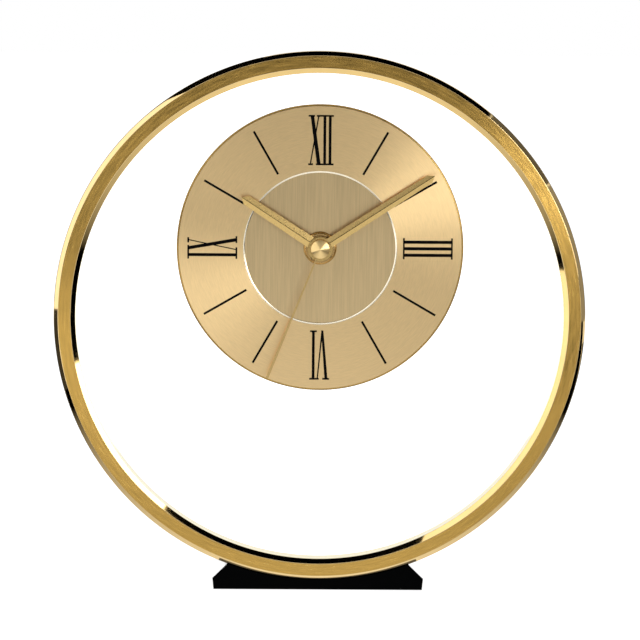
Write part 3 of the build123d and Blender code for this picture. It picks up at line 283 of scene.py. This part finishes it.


# Finishes of the hoop

# The brushing is real; the gold is darker than the hoop's bevels, a painted shade
hoop_land_painted_shade = turned(
    "hoop_brushed_face_painted_shade", (0.62, 0.385, 0.095), hoop_z,
    roughness=0.24, lines=1.3, contrast=0.16, anisotropy=0.9, relief=0.02,
)
hoop_polish = metal("hoop_polished_bevels", (0.86, 0.63, 0.30), roughness=0.05, grain=6.0, contrast=0.04)
hoop_inner_bevel = metal(
    "hoop_polished_inner_bevel", (0.86, 0.61, 0.25), roughness=0.05, grain=6.0, contrast=0.04,
)
hoop_satin = metal("hoop_satin_sides", (0.80, 0.56, 0.22), roughness=0.24, grain=5.0, contrast=0.06)
# The inside wall's pale, nearly white gold is a painted highlight; its polish is real
hoop_inside_painted_highlight = metal("hoop_polished_inside_painted_highlight", (0.97, 0.87, 0.56), roughness=0.06, grain=6.0, contrast=0.03)
spring_gold = brushed(
    "spring_ring_lacquered_gold", (0.6, 0.42, 0.15),
    roughness=0.32, marks=(600.0, 600.0, 600.0), contrast=0.1, relief=0.01,
)

# Finishes of the base

black_lacquer = (0.0008, 0.0009, 0.0012)
base_black = mottled(
    "base_satin_black", black_lacquer,
    roughness=0.2, grain=3.0, contrast=0.10, Specular_IOR_Level=0.015,
)
base_gloss = mottled(
    "base_polished_shoulders", black_lacquer,
    roughness=0.03, grain=3.0, contrast=0.10, Specular_IOR_Level=1.0,
)
felt = mottled(
    "pad_black_felt", (0.012, 0.012, 0.012),
    roughness=0.95, grain=0.35, contrast=0.5, relief=0.15, Sheen_Weight=0.3,
)

# Finishes of the dial and the hands

ring_face = turned(
    "chapter_ring_spun_face", (0.94, 0.685, 0.345), dial_z,
    roughness=0.34, lines=3.0, contrast=0.05, anisotropy=0.80, relief=0.015,
)
# The bevel's pale, nearly white gold is a painted highlight; its polish is real
ring_bevel_painted_highlight = metal(
    "chapter_ring_bevel_painted_highlight", (0.97, 0.90, 0.72), roughness=0.2, grain=4.0, contrast=0.03,
)
# The outer rim's dark gold is painted shade
ring_rim_painted_shade = metal("chapter_ring_outer_rim_painted_shade", (0.45, 0.29, 0.09), roughness=0.2, grain=4.0, contrast=0.05)
dial_middle = brushed(
    "dial_middle_upright_brushing", (0.71, 0.535, 0.285),
    roughness=0.34, marks=(2400.0, 300.0, 60.0), contrast=0.08, relief=0.012,
)
dial_back = brushed(
    "dial_back_plain_metal", (0.62, 0.56, 0.44),
    roughness=0.45, marks=(300.0, 300.0, 60.0), contrast=0.08, relief=0.01,
)
ink = mottled(
    "dial_black_ink", (0.002, 0.002, 0.002),
    roughness=0.5, grain=0.5, contrast=0.15, Specular_IOR_Level=0.03,
)
hand_gold = metal("hand_satin_gold", (0.70, 0.49, 0.185), roughness=0.28, grain=0.8, contrast=0.05)
# The dark gold of the ridge flats is a painted shadow along the fold
hand_ridge_painted = metal("hand_crease_shadow", (0.05, 0.033, 0.01), roughness=0.5, grain=0.8, contrast=0.10)
second_gold = metal("second_hand_dull_gold", (0.60, 0.42, 0.17), roughness=0.40, grain=0.8, contrast=0.06)
cap_gold = turned(
    "cap_turned_gold", (0.9, 0.66, 0.3), dial_z,
    roughness=0.3, lines=5.0, contrast=0.10, anisotropy=0.8, relief=0.02,
)
nut_gold = turned(
    "nut_turned_gold", (0.60, 0.39, 0.15), dial_z,
    roughness=0.2, lines=4.0, contrast=0.10, anisotropy=0.6, relief=0.02,
)

# Finishes of the movement and the cell

case_plastic = mottled(
    "movement_black_plastic", (0.022, 0.022, 0.024), roughness=0.5, grain=0.35, contrast=0.2, relief=0.03,
)
mark_grey = mottled(
    "lid_marks_grey_plastic", (0.13, 0.13, 0.135), roughness=0.45, grain=0.4, contrast=0.15, relief=0.02,
)
knob_plastic = mottled(
    "knob_grey_plastic", (0.05, 0.05, 0.053), roughness=0.42, grain=0.4, contrast=0.15, relief=0.02,
)
gear_plastic = mottled(
    "gear_white_plastic", (0.8, 0.78, 0.72), roughness=0.45, grain=1.5, contrast=0.06, relief=0.01,
)
rubber = mottled(
    "washer_black_rubber", (0.02, 0.02, 0.02), roughness=0.8, grain=0.3, contrast=0.25, relief=0.05,
)
board_green = mottled(
    "board_green_resin", (0.03, 0.16, 0.06), roughness=0.4, grain=0.5, contrast=0.2, relief=0.02,
)
chip_black = mottled(
    "chip_black_epoxy", (0.012, 0.012, 0.012), roughness=0.3, grain=0.6, contrast=0.25, relief=0.02,
)
iron = metal(
    "motor_punched_iron", (0.36, 0.36, 0.38), roughness=0.45, grain=0.6, contrast=0.15, relief=0.02,
)
magnet_grey = metal(
    "rotor_sintered_magnet", (0.14, 0.14, 0.15), roughness=0.55, grain=0.2, contrast=0.25, relief=0.02,
)
steel = brushed(
    "plated_steel", (0.62, 0.62, 0.64),
    roughness=0.3, marks=(2000.0, 2000.0, 300.0), contrast=0.08, relief=0.01,
)
contact_metal = brushed(
    "contact_nickel_strip", (0.7, 0.68, 0.64),
    roughness=0.25, marks=(500.0, 2500.0, 500.0), contrast=0.07, relief=0.01,
)
copper = brushed(
    "coil_enamelled_wire", (0.72, 0.3, 0.1),
    roughness=0.28, marks=(9000.0, 300.0, 300.0), contrast=0.25, relief=0.03,
)
crystal_can = brushed(
    "crystal_tinned_can", (0.72, 0.72, 0.74),
    roughness=0.22, marks=(400.0, 3000.0, 3000.0), contrast=0.06, relief=0.01,
)
sleeve = mottled("cell_printed_sleeve", (0.03, 0.05, 0.11), roughness=0.3, grain=2.0, contrast=0.12)
sleeve_band = brushed(
    "cell_silver_band", (0.50, 0.50, 0.52),
    roughness=0.38, marks=(300.0, 2000.0, 2000.0), contrast=0.06, relief=0.01,
)

# Glass, which bends light so little that what stands behind it keeps its place

glass_finish = Finish(
    "glass_clear", (0.995, 1.0, 0.998), 0.0,
    Transmission_Weight=1.0, IOR=1.05, Coat_Weight=1.0, Coat_IOR=1.5, Alpha=0.25,
)
glass_smear = glass_finish.stretched_noise((40.0, 40.0, 40.0))
glass_finish.rough(glass_smear, 0.0, 0.012)
clear_glass = glass_finish.material

# CAD nodes that keep their shape

node_finishes = {
    "base_screws": steel, "base_pad": felt, "glass_disc": clear_glass, "hour_bars": ink,
    "hour_numerals": ink, "dial_washer": nut_gold, "rubber_washer": rubber, "threaded_bush": nut_gold,
    "stator": iron,
    "coil_core": iron, "coil_bobbin": gear_plastic, "coil_winding": copper, "core_screws": steel,
    "circuit_board": board_green, "clock_chip": chip_black, "quartz_crystal": crystal_can,
    "second_wheel": gear_plastic, "minute_tube": gear_plastic, "centre_wheel": gear_plastic,
    "hour_wheel": gear_plastic, "third_wheel": gear_plastic, "motion_wheel": gear_plastic,
    "intermediate_wheel": gear_plastic, "rotor": gear_plastic, "rotor_magnet": magnet_grey,
}
for node_name, finish in node_finishes.items():
    slots = nodes[node_name].data.materials
    slots.clear()
    slots.append(finish)


# Modelling


def spin(shape, places, closed, centre, axis, steps):
    """Turns a line through some places once round an axis."""
    points = [shape.verts.new(place) for place in places]
    following = points[1:] + points[:1] if closed else points[1:]
    lines = [shape.edges.new(pair) for pair in zip(points, following)]
    bmesh.ops.spin(
        shape, geom=points + lines, cent=centre, axis=axis, angle=tau, steps=steps, use_merge=True,
    )
    bmesh.ops.remove_doubles(shape, verts=shape.verts, dist=spin_merge)
    bmesh.ops.recalc_face_normals(shape, faces=shape.faces)


def lathe(profile, centre_z, steps, closed=True):
    """Turns a profile of radii and depths about a front-to-back axis."""
    shape = bmesh.new()
    places = [(radius * mm, (hoop_front + depth) * mm, centre_z * mm) for radius, depth in profile]
    spin(shape, places, closed, (0.0, 0.0, centre_z * mm), (0, 1, 0), steps)
    return shape


def radius_of(face, centre_z):
    """Radius of a face's middle about a front-to-back axis."""
    middle = face.calc_center_median()
    return hypot(middle.x, middle.z - centre_z * mm) / mm


def merged_copy(node_name):
    """Copy of a CAD node's mesh with its triangles joined up."""
    shape = bmesh.new()
    shape.from_mesh(nodes[node_name].data)
    bmesh.ops.remove_doubles(shape, verts=shape.verts, dist=copy_merge)
    bmesh.ops.dissolve_limit(
        shape, angle_limit=radians(plane_angle), verts=shape.verts, edges=shape.edges,
    )
    return shape


def edges_sharper(shape, angle):
    """Edges between two faces that turn by more than an angle."""
    return [
        edge for edge in shape.edges
        if len(edge.link_faces) == 2 and edge.calc_face_angle(0.0) > radians(angle)
    ]


def bevel(shape, edges, width, segments):
    """Bevels some edges, and gives the new faces."""
    cut = bmesh.ops.bevel(
        shape, geom=edges, offset=width * mm, offset_type="OFFSET", segments=segments, profile=0.5,
        affect="EDGES", clamp_overlap=True, material=-1,
    )
    return cut["faces"]


def round_edges(shape, width, sharper_than=rounded_angle):
    """Rounds the edges that are sharper than an angle."""
    bevel(shape, edges_sharper(shape, sharper_than), width, segments=2)


def crease_ridge(shape, width, index):
    """Gives the ridge of a folded hand a flat of a width to each side, with a dark finish of its own, a
    painted shadow along the ridge.
    """
    shape.normal_update()
    ridge = [
        edge for edge in edges_sharper(shape, ridge_angle)
        if all(face.normal.y < ridge_facing for face in edge.link_faces)
    ]
    for face in bevel(shape, ridge, width, segments=1):
        face.material_index = index


def paint(shape, index, direction):
    """Gives the faces that look in a direction a finish of their own."""
    shape.normal_update()
    towards = Vector(direction).normalized()
    for face in shape.faces:
        if face.normal.dot(towards) > same_direction:
            face.material_index = index


def flat_face(shape, places):
    """One face through some places."""
    return shape.faces.new([shape.verts.new(place) for place in places])


def show(name, shape, body, slot, stands_for, *finishes):
    """Makes a mesh a piece of the clock that rides on a body and stands for CAD nodes."""
    mesh = bpy.data.meshes.new(name)
    shape.to_mesh(mesh)
    shape.free()
    mesh.shade_smooth()
    mesh.set_sharp_from_angle(angle=radians(sharp_angle))
    for finish in finishes:
        mesh.materials.append(finish)
    made = bpy.data.objects.new(name, mesh)
    scene.collection.objects.link(made)
    weighted = made.modifiers.new("flat_faces", "WEIGHTED_NORMAL")
    weighted.keep_sharp = True
    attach(made, body)
    if stands_for:
        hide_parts(*stands_for)


def lid_spot(x, z):
    """Place just under the surface of the movement's lid."""
    return (x * mm, (lid_back - lid_sink) * mm, z * mm)


def knob_spot(radius, angle):
    """Place on the lid, round the knob's axis."""
    return lid_spot(knob_x + radius * cos(radians(angle)), knob_z + radius * sin(radians(angle)))


def sweep(shape, radii, span, steps):
    """Flat band round the knob's axis, between two radii and two angles."""
    ends = [shape.verts.new(knob_spot(radius, span[0])) for radius in radii]
    line = shape.edges.new(ends)
    turn = radians(span[0] - span[1])
    whole = turn >= tau
    bmesh.ops.spin(
        shape, geom=[*ends, line], cent=lid_spot(knob_x, knob_z), axis=(0, 1, 0), angle=turn, steps=steps,
        use_merge=whole,
    )


def raise_marks(shape):
    """Gives flat marks on the lid their height."""
    raised = bmesh.ops.extrude_face_region(shape, geom=list(shape.faces))
    moved = [item for item in raised["geom"] if isinstance(item, bmesh.types.BMVert)]
    bmesh.ops.translate(shape, verts=moved, vec=(0.0, (mark_height + lid_sink) * mm, 0.0))
    bmesh.ops.recalc_face_normals(shape, faces=shape.faces)
    round_edges(shape, edge_widths["mark"])


# Hoop
hoop_finishes = (hoop_polish, hoop_land_painted_shade, hoop_satin, hoop_inside_painted_highlight, hoop_inner_bevel)
hoop = lathe(hoop_profile, hoop_z, hoop_steps)
round_edges(hoop, edge_widths["hoop"])
# Faces to the front take the darker brushed gold, a painted shade
paint(hoop, hoop_finishes.index(hoop_land_painted_shade), to_front)
# Walls inside the bore take the pale gold of the painted highlight, outer walls satin gold, and the inner
# bevel its own gold
for face in hoop.faces:
    radius = radius_of(face, hoop_z)
    if face.normal.y > wall_facing:
        wall_finish = hoop_inside_painted_highlight if radius < hoop_bore else hoop_satin
        face.material_index = hoop_finishes.index(wall_finish)
    elif radius < hoop_inner_bevel_edge:
        face.material_index = hoop_finishes.index(hoop_inner_bevel)
show("hoop_ring", hoop, "frame", "gold_hoop", ["hoop"], *hoop_finishes)

# Base
base_finishes = (base_black, base_gloss)
base = merged_copy("base_block")
round_edges(base, edge_widths["base"])
for side in (-1, 1):
    paint(base, base_finishes.index(base_gloss), (side * base_shoulder[0], 0.0, base_shoulder[1]))
show("base_stand", base, "frame", "base_black", ["base_block"], *base_finishes)

# Spring ring
spring = merged_copy("glass_spring_ring")
round_edges(spring, edge_widths["spring"])
show("spring_ring", spring, "frame", "spring_wire", ["glass_spring_ring"], spring_gold)

# Dial
plate_finishes = (dial_back, dial_middle)
plate = lathe(plate_profile, dial_z, plate_steps)
round_edges(plate, edge_widths["plate"])
paint(plate, plate_finishes.index(dial_middle), to_front)
show("dial_disc", plate, "frame", "gold_dial", ["dial_plate"], *plate_finishes)
chapter_finishes = (ring_bevel_painted_highlight, ring_face, ring_rim_painted_shade)
chapter = lathe(chapter_profile, dial_z, chapter_steps)
round_edges(chapter, edge_widths["chapter"])
paint(chapter, chapter_finishes.index(ring_face), to_front)
# Bevel faces beyond the rim radius take the dark rim gold, a painted shade
for face in chapter.faces:
    bevelled = face.material_index == chapter_finishes.index(ring_bevel_painted_highlight)
    if bevelled and radius_of(face, dial_z) > chapter_rim_inside:
        face.material_index = chapter_finishes.index(ring_rim_painted_shade)
show("chapter_plate", chapter, "frame", "gold_dial", ["chapter_ring"], *chapter_finishes)

# Clamp nut
nut = merged_copy("dial_nut")
round_edges(nut, edge_widths["nut"])
show("clamp_nut", nut, "frame", "gold_turned", ["dial_nut"], nut_gold)

# Hands and cap
for hand, hand_finish in (
    ("hour_hand", hand_gold), ("minute_hand", hand_gold), ("second_hand", second_gold),
):
    blade_finishes = (hand_finish, hand_ridge_painted)
    blade = merged_copy(hand)
    if hand in crease_widths:
        crease_ridge(blade, crease_widths[hand], blade_finishes.index(hand_ridge_painted))
    round_edges(blade, edge_widths["hand"], sharper_than=hand_rounded_angle)
    bmesh.ops.remove_doubles(blade, verts=blade.verts, dist=copy_merge)
    show(hand + "_blade", blade, hand + "_body", "gold_hands", [hand], *blade_finishes)
cap = lathe(cap_profile, dial_z, cap_steps, closed=False)
round_edges(cap, edge_widths["cap"])
show("cap_cone", cap, "second_hand_body", "gold_turned", ["hand_cap"], cap_gold)

# Movement
for part_name, piece_name in (("movement_front_case", "case_shell"), ("movement_rear_cover", "case_lid")):
    shell = merged_copy(part_name)
    round_edges(shell, edge_widths["case"])
    show(piece_name, shell, "frame", "movement_plastic", [part_name], case_plastic)
knob = merged_copy("setting_knob")
round_edges(knob, edge_widths["knob"])
show("time_knob", knob, "setting_knob_body", "movement_plastic", ["setting_knob"], knob_plastic)
for part_name in ("positive_contact", "negative_contact"):
    strip = merged_copy(part_name)
    round_edges(strip, edge_widths["contact"])
    show(part_name + "_strip", strip, "frame", "contact_metal", [part_name], contact_metal)

# Marks on the lid: a ring and a turning arrow by the knob, the poles of the cell, and a blank frame
marks = bmesh.new()
sweep(marks, knob_ring, (360.0, 0.0), knob_ring_steps)
half_line = mark_width / 2
sweep(marks, (arrow_radius - half_line, arrow_radius + half_line), arrow_span, arrow_steps)
half_head = arrow_head_width / 2
arrow_end = arrow_span[1]
head_places = [
    knob_spot(arrow_radius - half_head, arrow_end),
    knob_spot(arrow_radius + half_head, arrow_end),
    knob_spot(arrow_radius, arrow_end - arrow_head_turn),
]
flat_face(marks, head_places)
half_mark = pole_mark_size / 2
plus_outline = [
    (-half_mark, -half_line), (-half_line, -half_line), (-half_line, -half_mark),
    (half_line, -half_mark), (half_line, -half_line), (half_mark, -half_line),
    (half_mark, half_line), (half_line, half_line), (half_line, half_mark),
    (-half_line, half_mark), (-half_line, half_line), (-half_mark, half_line),
]
minus_outline = [
    (-half_mark, -half_line), (half_mark, -half_line), (half_mark, half_line), (-half_mark, half_line),
]
for pole_x, outline in ((plus_x, plus_outline), (minus_x, minus_outline)):
    flat_face(marks, [lid_spot(pole_x + x, pole_mark_z + z) for x, z in outline])
(field_left, field_bottom), (field_right, field_top) = lid_field
field_corners = [
    (field_left, field_bottom), (field_right, field_bottom),
    (field_right, field_top), (field_left, field_top),
]
field = flat_face(marks, [lid_spot(x, z) for x, z in field_corners])
field.normal_update()
bmesh.ops.inset_individual(marks, faces=[field], thickness=mark_width * mm, use_even_offset=True)
bmesh.ops.delete(marks, geom=[field], context="FACES_ONLY")
raise_marks(marks)
show("lid_marks", marks, "frame", "movement_plastic", [], mark_grey)

# Cell
cell_finishes = (contact_metal, sleeve, sleeve_band)
cell = bmesh.new()
cell_places = [(along * mm, cell_y * mm, (cell_z + radius) * mm) for radius, along in cell_profile]
spin(cell, cell_places, False, (0.0, cell_y * mm, cell_z * mm), (1, 0, 0), cell_steps)
for face in cell.faces:
    along = face.calc_center_median().x / mm
    for span, wrap in ((cell_sleeve_span, sleeve), (cell_band_span, sleeve_band)):
        if span[0] < along < span[1]:
            face.material_index = cell_finishes.index(wrap)
show("cell_can", cell, "battery_body", "cell_sleeve", ["battery"], *cell_finishes)


# Studio


def stage_piece(name, shape, material):
    """Makes a mesh a piece of the studio."""
    mesh = bpy.data.meshes.new(name)
    shape.to_mesh(mesh)
    shape.free()
    mesh.materials.append(material)
    made = bpy.data.objects.new(name, mesh)
    scene.collection.objects.link(made)
    return made


def panel(name, level, corners, fade=None):
    """Flat panel of a brightness that only reflections see. It may fade between two distances aside."""
    glow = bpy.data.materials.new(name)
    tree = fresh_tree(glow)
    strength = level
    if fade:
        place = add_node(tree, "TexCoord").outputs["Object"]
        across = add_node(tree, "SeparateXYZ", {0: place}).outputs["X"]
        aside = add_node(tree, "Math", {0: across}, operation="ABSOLUTE").outputs[0]
        ends = {"From Min": fade[0], "From Max": fade[1], "To Min": level, "To Max": 0.0}
        strength = add_node(tree, "MapRange", {"Value": aside, **ends}).outputs[0]
    light = add_node(tree, "Emission", {"Strength": strength}).outputs[0]
    add_node(tree, "OutputMaterial", {"Surface": light})
    shape = bmesh.new()
    flat_face(shape, corners)
    made = stage_piece(name, shape, glow)
    made.visible_camera = False
    made.visible_diffuse = False
    made.visible_transmission = False
    made.visible_shadow = False


def wall_panel(name, level, depth, across, heights):
    """Upright panel at a depth, that faces the clock."""
    left, right = across
    low, high = heights
    corners = [(left, depth, low), (right, depth, low), (right, depth, high), (left, depth, high)]
    panel(name, level, corners)


def side_panel(name, level, top, bottom, top_depths, bottom_depths=None):
    """Panel beside or above the clock, between two points seen from the front, with their depths."""
    top_front, top_rear = top_depths
    bottom_front, bottom_rear = bottom_depths or top_depths
    corners = [
        (top[0], top_front, top[1]),
        (bottom[0], bottom_front, bottom[1]),
        (bottom[0], bottom_rear, bottom[1]),
        (top[0], top_rear, top[1]),
    ]
    panel(name, level, corners)


def floor_card(name, level, height, across, depths, fade=None):
    """Card that lies just above the floor."""
    left, right = across
    front, rear = depths
    corners = [(left, front, height), (right, front, height), (right, rear, height), (left, rear, height)]
    panel(name, level, corners, fade)


def seen(tree, *rays):
    """Socket that is 1 for any of some kinds of ray."""
    path = add_node(tree, "LightPath")
    found = path.outputs[rays[0]]
    for ray in rays[1:]:
        found = add_node(tree, "Math", {0: found, 1: path.outputs[ray]}, operation="MAXIMUM").outputs[0]
    return found


def softbox(name, place, aim, width, height, power, in_gloss):
    """Rectangular lamp that points at a spot, and that metal may show."""
    lamp = bpy.data.lights.new(name, "AREA")
    lamp.shape = "RECTANGLE"
    lamp.size = width
    lamp.size_y = height
    lamp.energy = power
    made = bpy.data.objects.new(name, lamp)
    made.location = place
    made.rotation_mode = "QUATERNION"
    made.rotation_quaternion = (Vector(aim) - Vector(place)).to_track_quat("-Z", "Y")
    made.visible_camera = False
    made.visible_glossy = in_gloss
    scene.collection.objects.link(made)


# Levels that several panels share, and heights of the cards, so that none lies in another
left_level = 1.45
rear_shade = 0.1
deep_shade = 0.05
low_card = 0.002
middle_card = 0.0025
high_card = 0.003

# In front
wall_panel("wall_left", level=1.3, depth=-1.89, across=(-1.4, -0.5), heights=(0.25, 0.9))
wall_panel("wall_low", level=0.03, depth=-1.9, across=(-1.8, 1.8), heights=(0.0, 0.6))
wall_panel("wall_high", level=0.35, depth=-1.9, across=(-1.8, 1.8), heights=(0.6, 1.5))

# Above
flag_corners = [(-0.41, -0.5, 0.95), (0.8, -0.5, 0.95), (0.8, 0.4, 0.95), (-0.84, 0.4, 0.95)]
panel("flag_above", level=0.0, corners=flag_corners)
side_panel(
    "panel_left_top", left_level, top=(-0.2, 0.955), bottom=(-0.86, 0.955), top_depths=(-0.65, 0.4),
)
side_panel(
    "panel_left_top_rear", rear_shade, top=(-0.2, 0.955), bottom=(-0.86, 0.955), top_depths=(0.4, 1.4),
)

# On the left
side_panel(
    "panel_left", left_level, top=(-0.86, 0.955), bottom=(-1.05, 0.04), top_depths=(-0.65, 0.4),
)
side_panel(
    "panel_left_rear", rear_shade, top=(-0.86, 0.955), bottom=(-1.05, 0.04), top_depths=(0.4, 1.4),
)
side_panel(
    "panel_left_low", left_level, top=(-1.05, 0.04), bottom=(-0.29, 0.003),
    top_depths=(-0.65, -0.205), bottom_depths=(-0.65, -0.08),
)
side_panel(
    "panel_left_low_rear", deep_shade, top=(-1.05, 0.04), bottom=(-0.29, 0.003),
    top_depths=(-0.2, 0.4), bottom_depths=(-0.075, 0.4),
)

# On the right
side_panel(
    "panel_right", level=5.0, top=(0.81, 0.95), bottom=(1.05, 0.18),
    top_depths=(-0.65, -0.37), bottom_depths=(-0.65, -0.205),
)
side_panel(
    "panel_right_low", level=0.0, top=(1.05, 0.17), bottom=(0.70, 0.003), top_depths=(-0.65, -0.205),
)
side_panel(
    "panel_right_rear_high", level=0.13, top=(0.81, 0.95), bottom=(1.05, 0.62),
    top_depths=(-0.36, 0.4), bottom_depths=(-0.285, 0.4),
)
side_panel(
    "panel_right_rear", level=0.33, top=(1.05, 0.61), bottom=(1.05, 0.003),
    top_depths=(-0.28, 0.4), bottom_depths=(-0.2, 0.4),
)
side_panel(
    "panel_right_far", deep_shade, top=(0.81, 0.95), bottom=(1.05, 0.003), top_depths=(0.4, 1.4),
)

# On the floor
floor_card("card_side_left", deep_shade, middle_card, across=(-0.6, -0.15), depths=(0.04, 0.5))
floor_card("card_side_right", deep_shade, middle_card, across=(0.15, 0.6), depths=(0.04, 0.5))
floor_card(
    "card_below", level=1.0, height=low_card, across=(-1.06, 1.06), depths=(-0.25, 0.03), fade=(0.03, 0.24),
)
floor_card("card_front_right", level=0.25, height=high_card, across=(0.08, 0.38), depths=(-1.2, -0.55))
floor_card("card_behind", level=1.0, height=low_card, across=(-0.6, 0.6), depths=(0.035, 1.6))
floor_card("card_rear_left", level=2.0, height=middle_card, across=(-0.13, -0.04), depths=(0.035, 0.33))
floor_card("card_rear_right", level=2.0, height=middle_card, across=(0.04, 0.13), depths=(0.035, 0.33))

# Floor, nearly white in view and darker in reflections, which keeps the clock's shadow
floor_size = 60.0
floor_grey = (0.5, 0.5, 0.5, 1.0)
floor_level = 0.92
floor_gloss_level = 0.65
floor_material = bpy.data.materials.new("floor_pale")
floor_tree = fresh_tree(floor_material)
in_gloss = seen(floor_tree, "Is Glossy Ray")
in_view = seen(floor_tree, "Is Camera Ray", "Is Transmission Ray")
gloss_inputs = {0: in_gloss, 1: floor_gloss_level}
gloss_share = add_node(floor_tree, "Math", gloss_inputs, operation="MULTIPLY").outputs[0]
glow_inputs = {0: in_view, 1: floor_level, 2: gloss_share}
floor_glow_level = add_node(floor_tree, "Math", glow_inputs, operation="MULTIPLY_ADD").outputs[0]
floor_diffuse = add_node(floor_tree, "BsdfDiffuse", {"Color": floor_grey}).outputs[0]
floor_glow = add_node(floor_tree, "Emission", {"Strength": floor_glow_level}).outputs[0]
floor_sum = add_node(floor_tree, "AddShader", {0: floor_diffuse, 1: floor_glow}).outputs[0]
add_node(floor_tree, "OutputMaterial", {"Surface": floor_sum})
floor_shape = bmesh.new()
bmesh.ops.create_grid(floor_shape, x_segments=1, y_segments=1, size=floor_size)
stage_piece("floor", floor_shape, floor_material)

# World, white where it is seen and dimmer where it lights
world_light_level = 0.55
world_seen_level = 1.0
white = (1.0, 1.0, 1.0, 1.0)
world = bpy.data.worlds.new("studio")
scene.world = world
world_tree = fresh_tree(world)
world_seen = seen(world_tree, "Is Camera Ray", "Is Glossy Ray", "Is Transmission Ray")
world_levels = {"Value": world_seen, "To Min": world_light_level, "To Max": world_seen_level}
world_level = add_node(world_tree, "MapRange", world_levels).outputs[0]
world_light = add_node(world_tree, "Background", {"Color": white, "Strength": world_level}).outputs[0]
add_node(world_tree, "OutputWorld", {"Surface": world_light})

# Lamps
lamp_aim = (0.0, 0.0, 0.12)
softbox(
    "softbox_front_right", (0.62, -1.45, 0.33), lamp_aim,
    width=0.35, height=0.42, power=2.7, in_gloss=True,
)
softbox("softbox_left", (-0.9, -0.9, 0.9), lamp_aim, width=0.5, height=0.5, power=3.0, in_gloss=False)

# Camera
camera_data = bpy.data.cameras.new("camera")
camera_data.sensor_width = 36.0
camera_data.lens = 141.85
camera = bpy.data.objects.new("camera", camera_data)
scene.collection.objects.link(camera)
azimuth = radians(-0.64)
elevation = radians(6.2)
distance = 1.0
roll = radians(0.45)
camera_aim = Vector((0.00016, -0.012775, 0.10809))
back = Vector((sin(azimuth) * cos(elevation), -cos(azimuth) * cos(elevation), sin(elevation)))
camera.location = camera_aim + back * distance
camera.rotation_mode = "QUATERNION"
camera.rotation_quaternion = (-back).to_track_quat("-Z", "Y") @ Quaternion((0.0, 0.0, 1.0), roll)
scene.camera = camera
scene.view_settings.view_transform = "Standard"
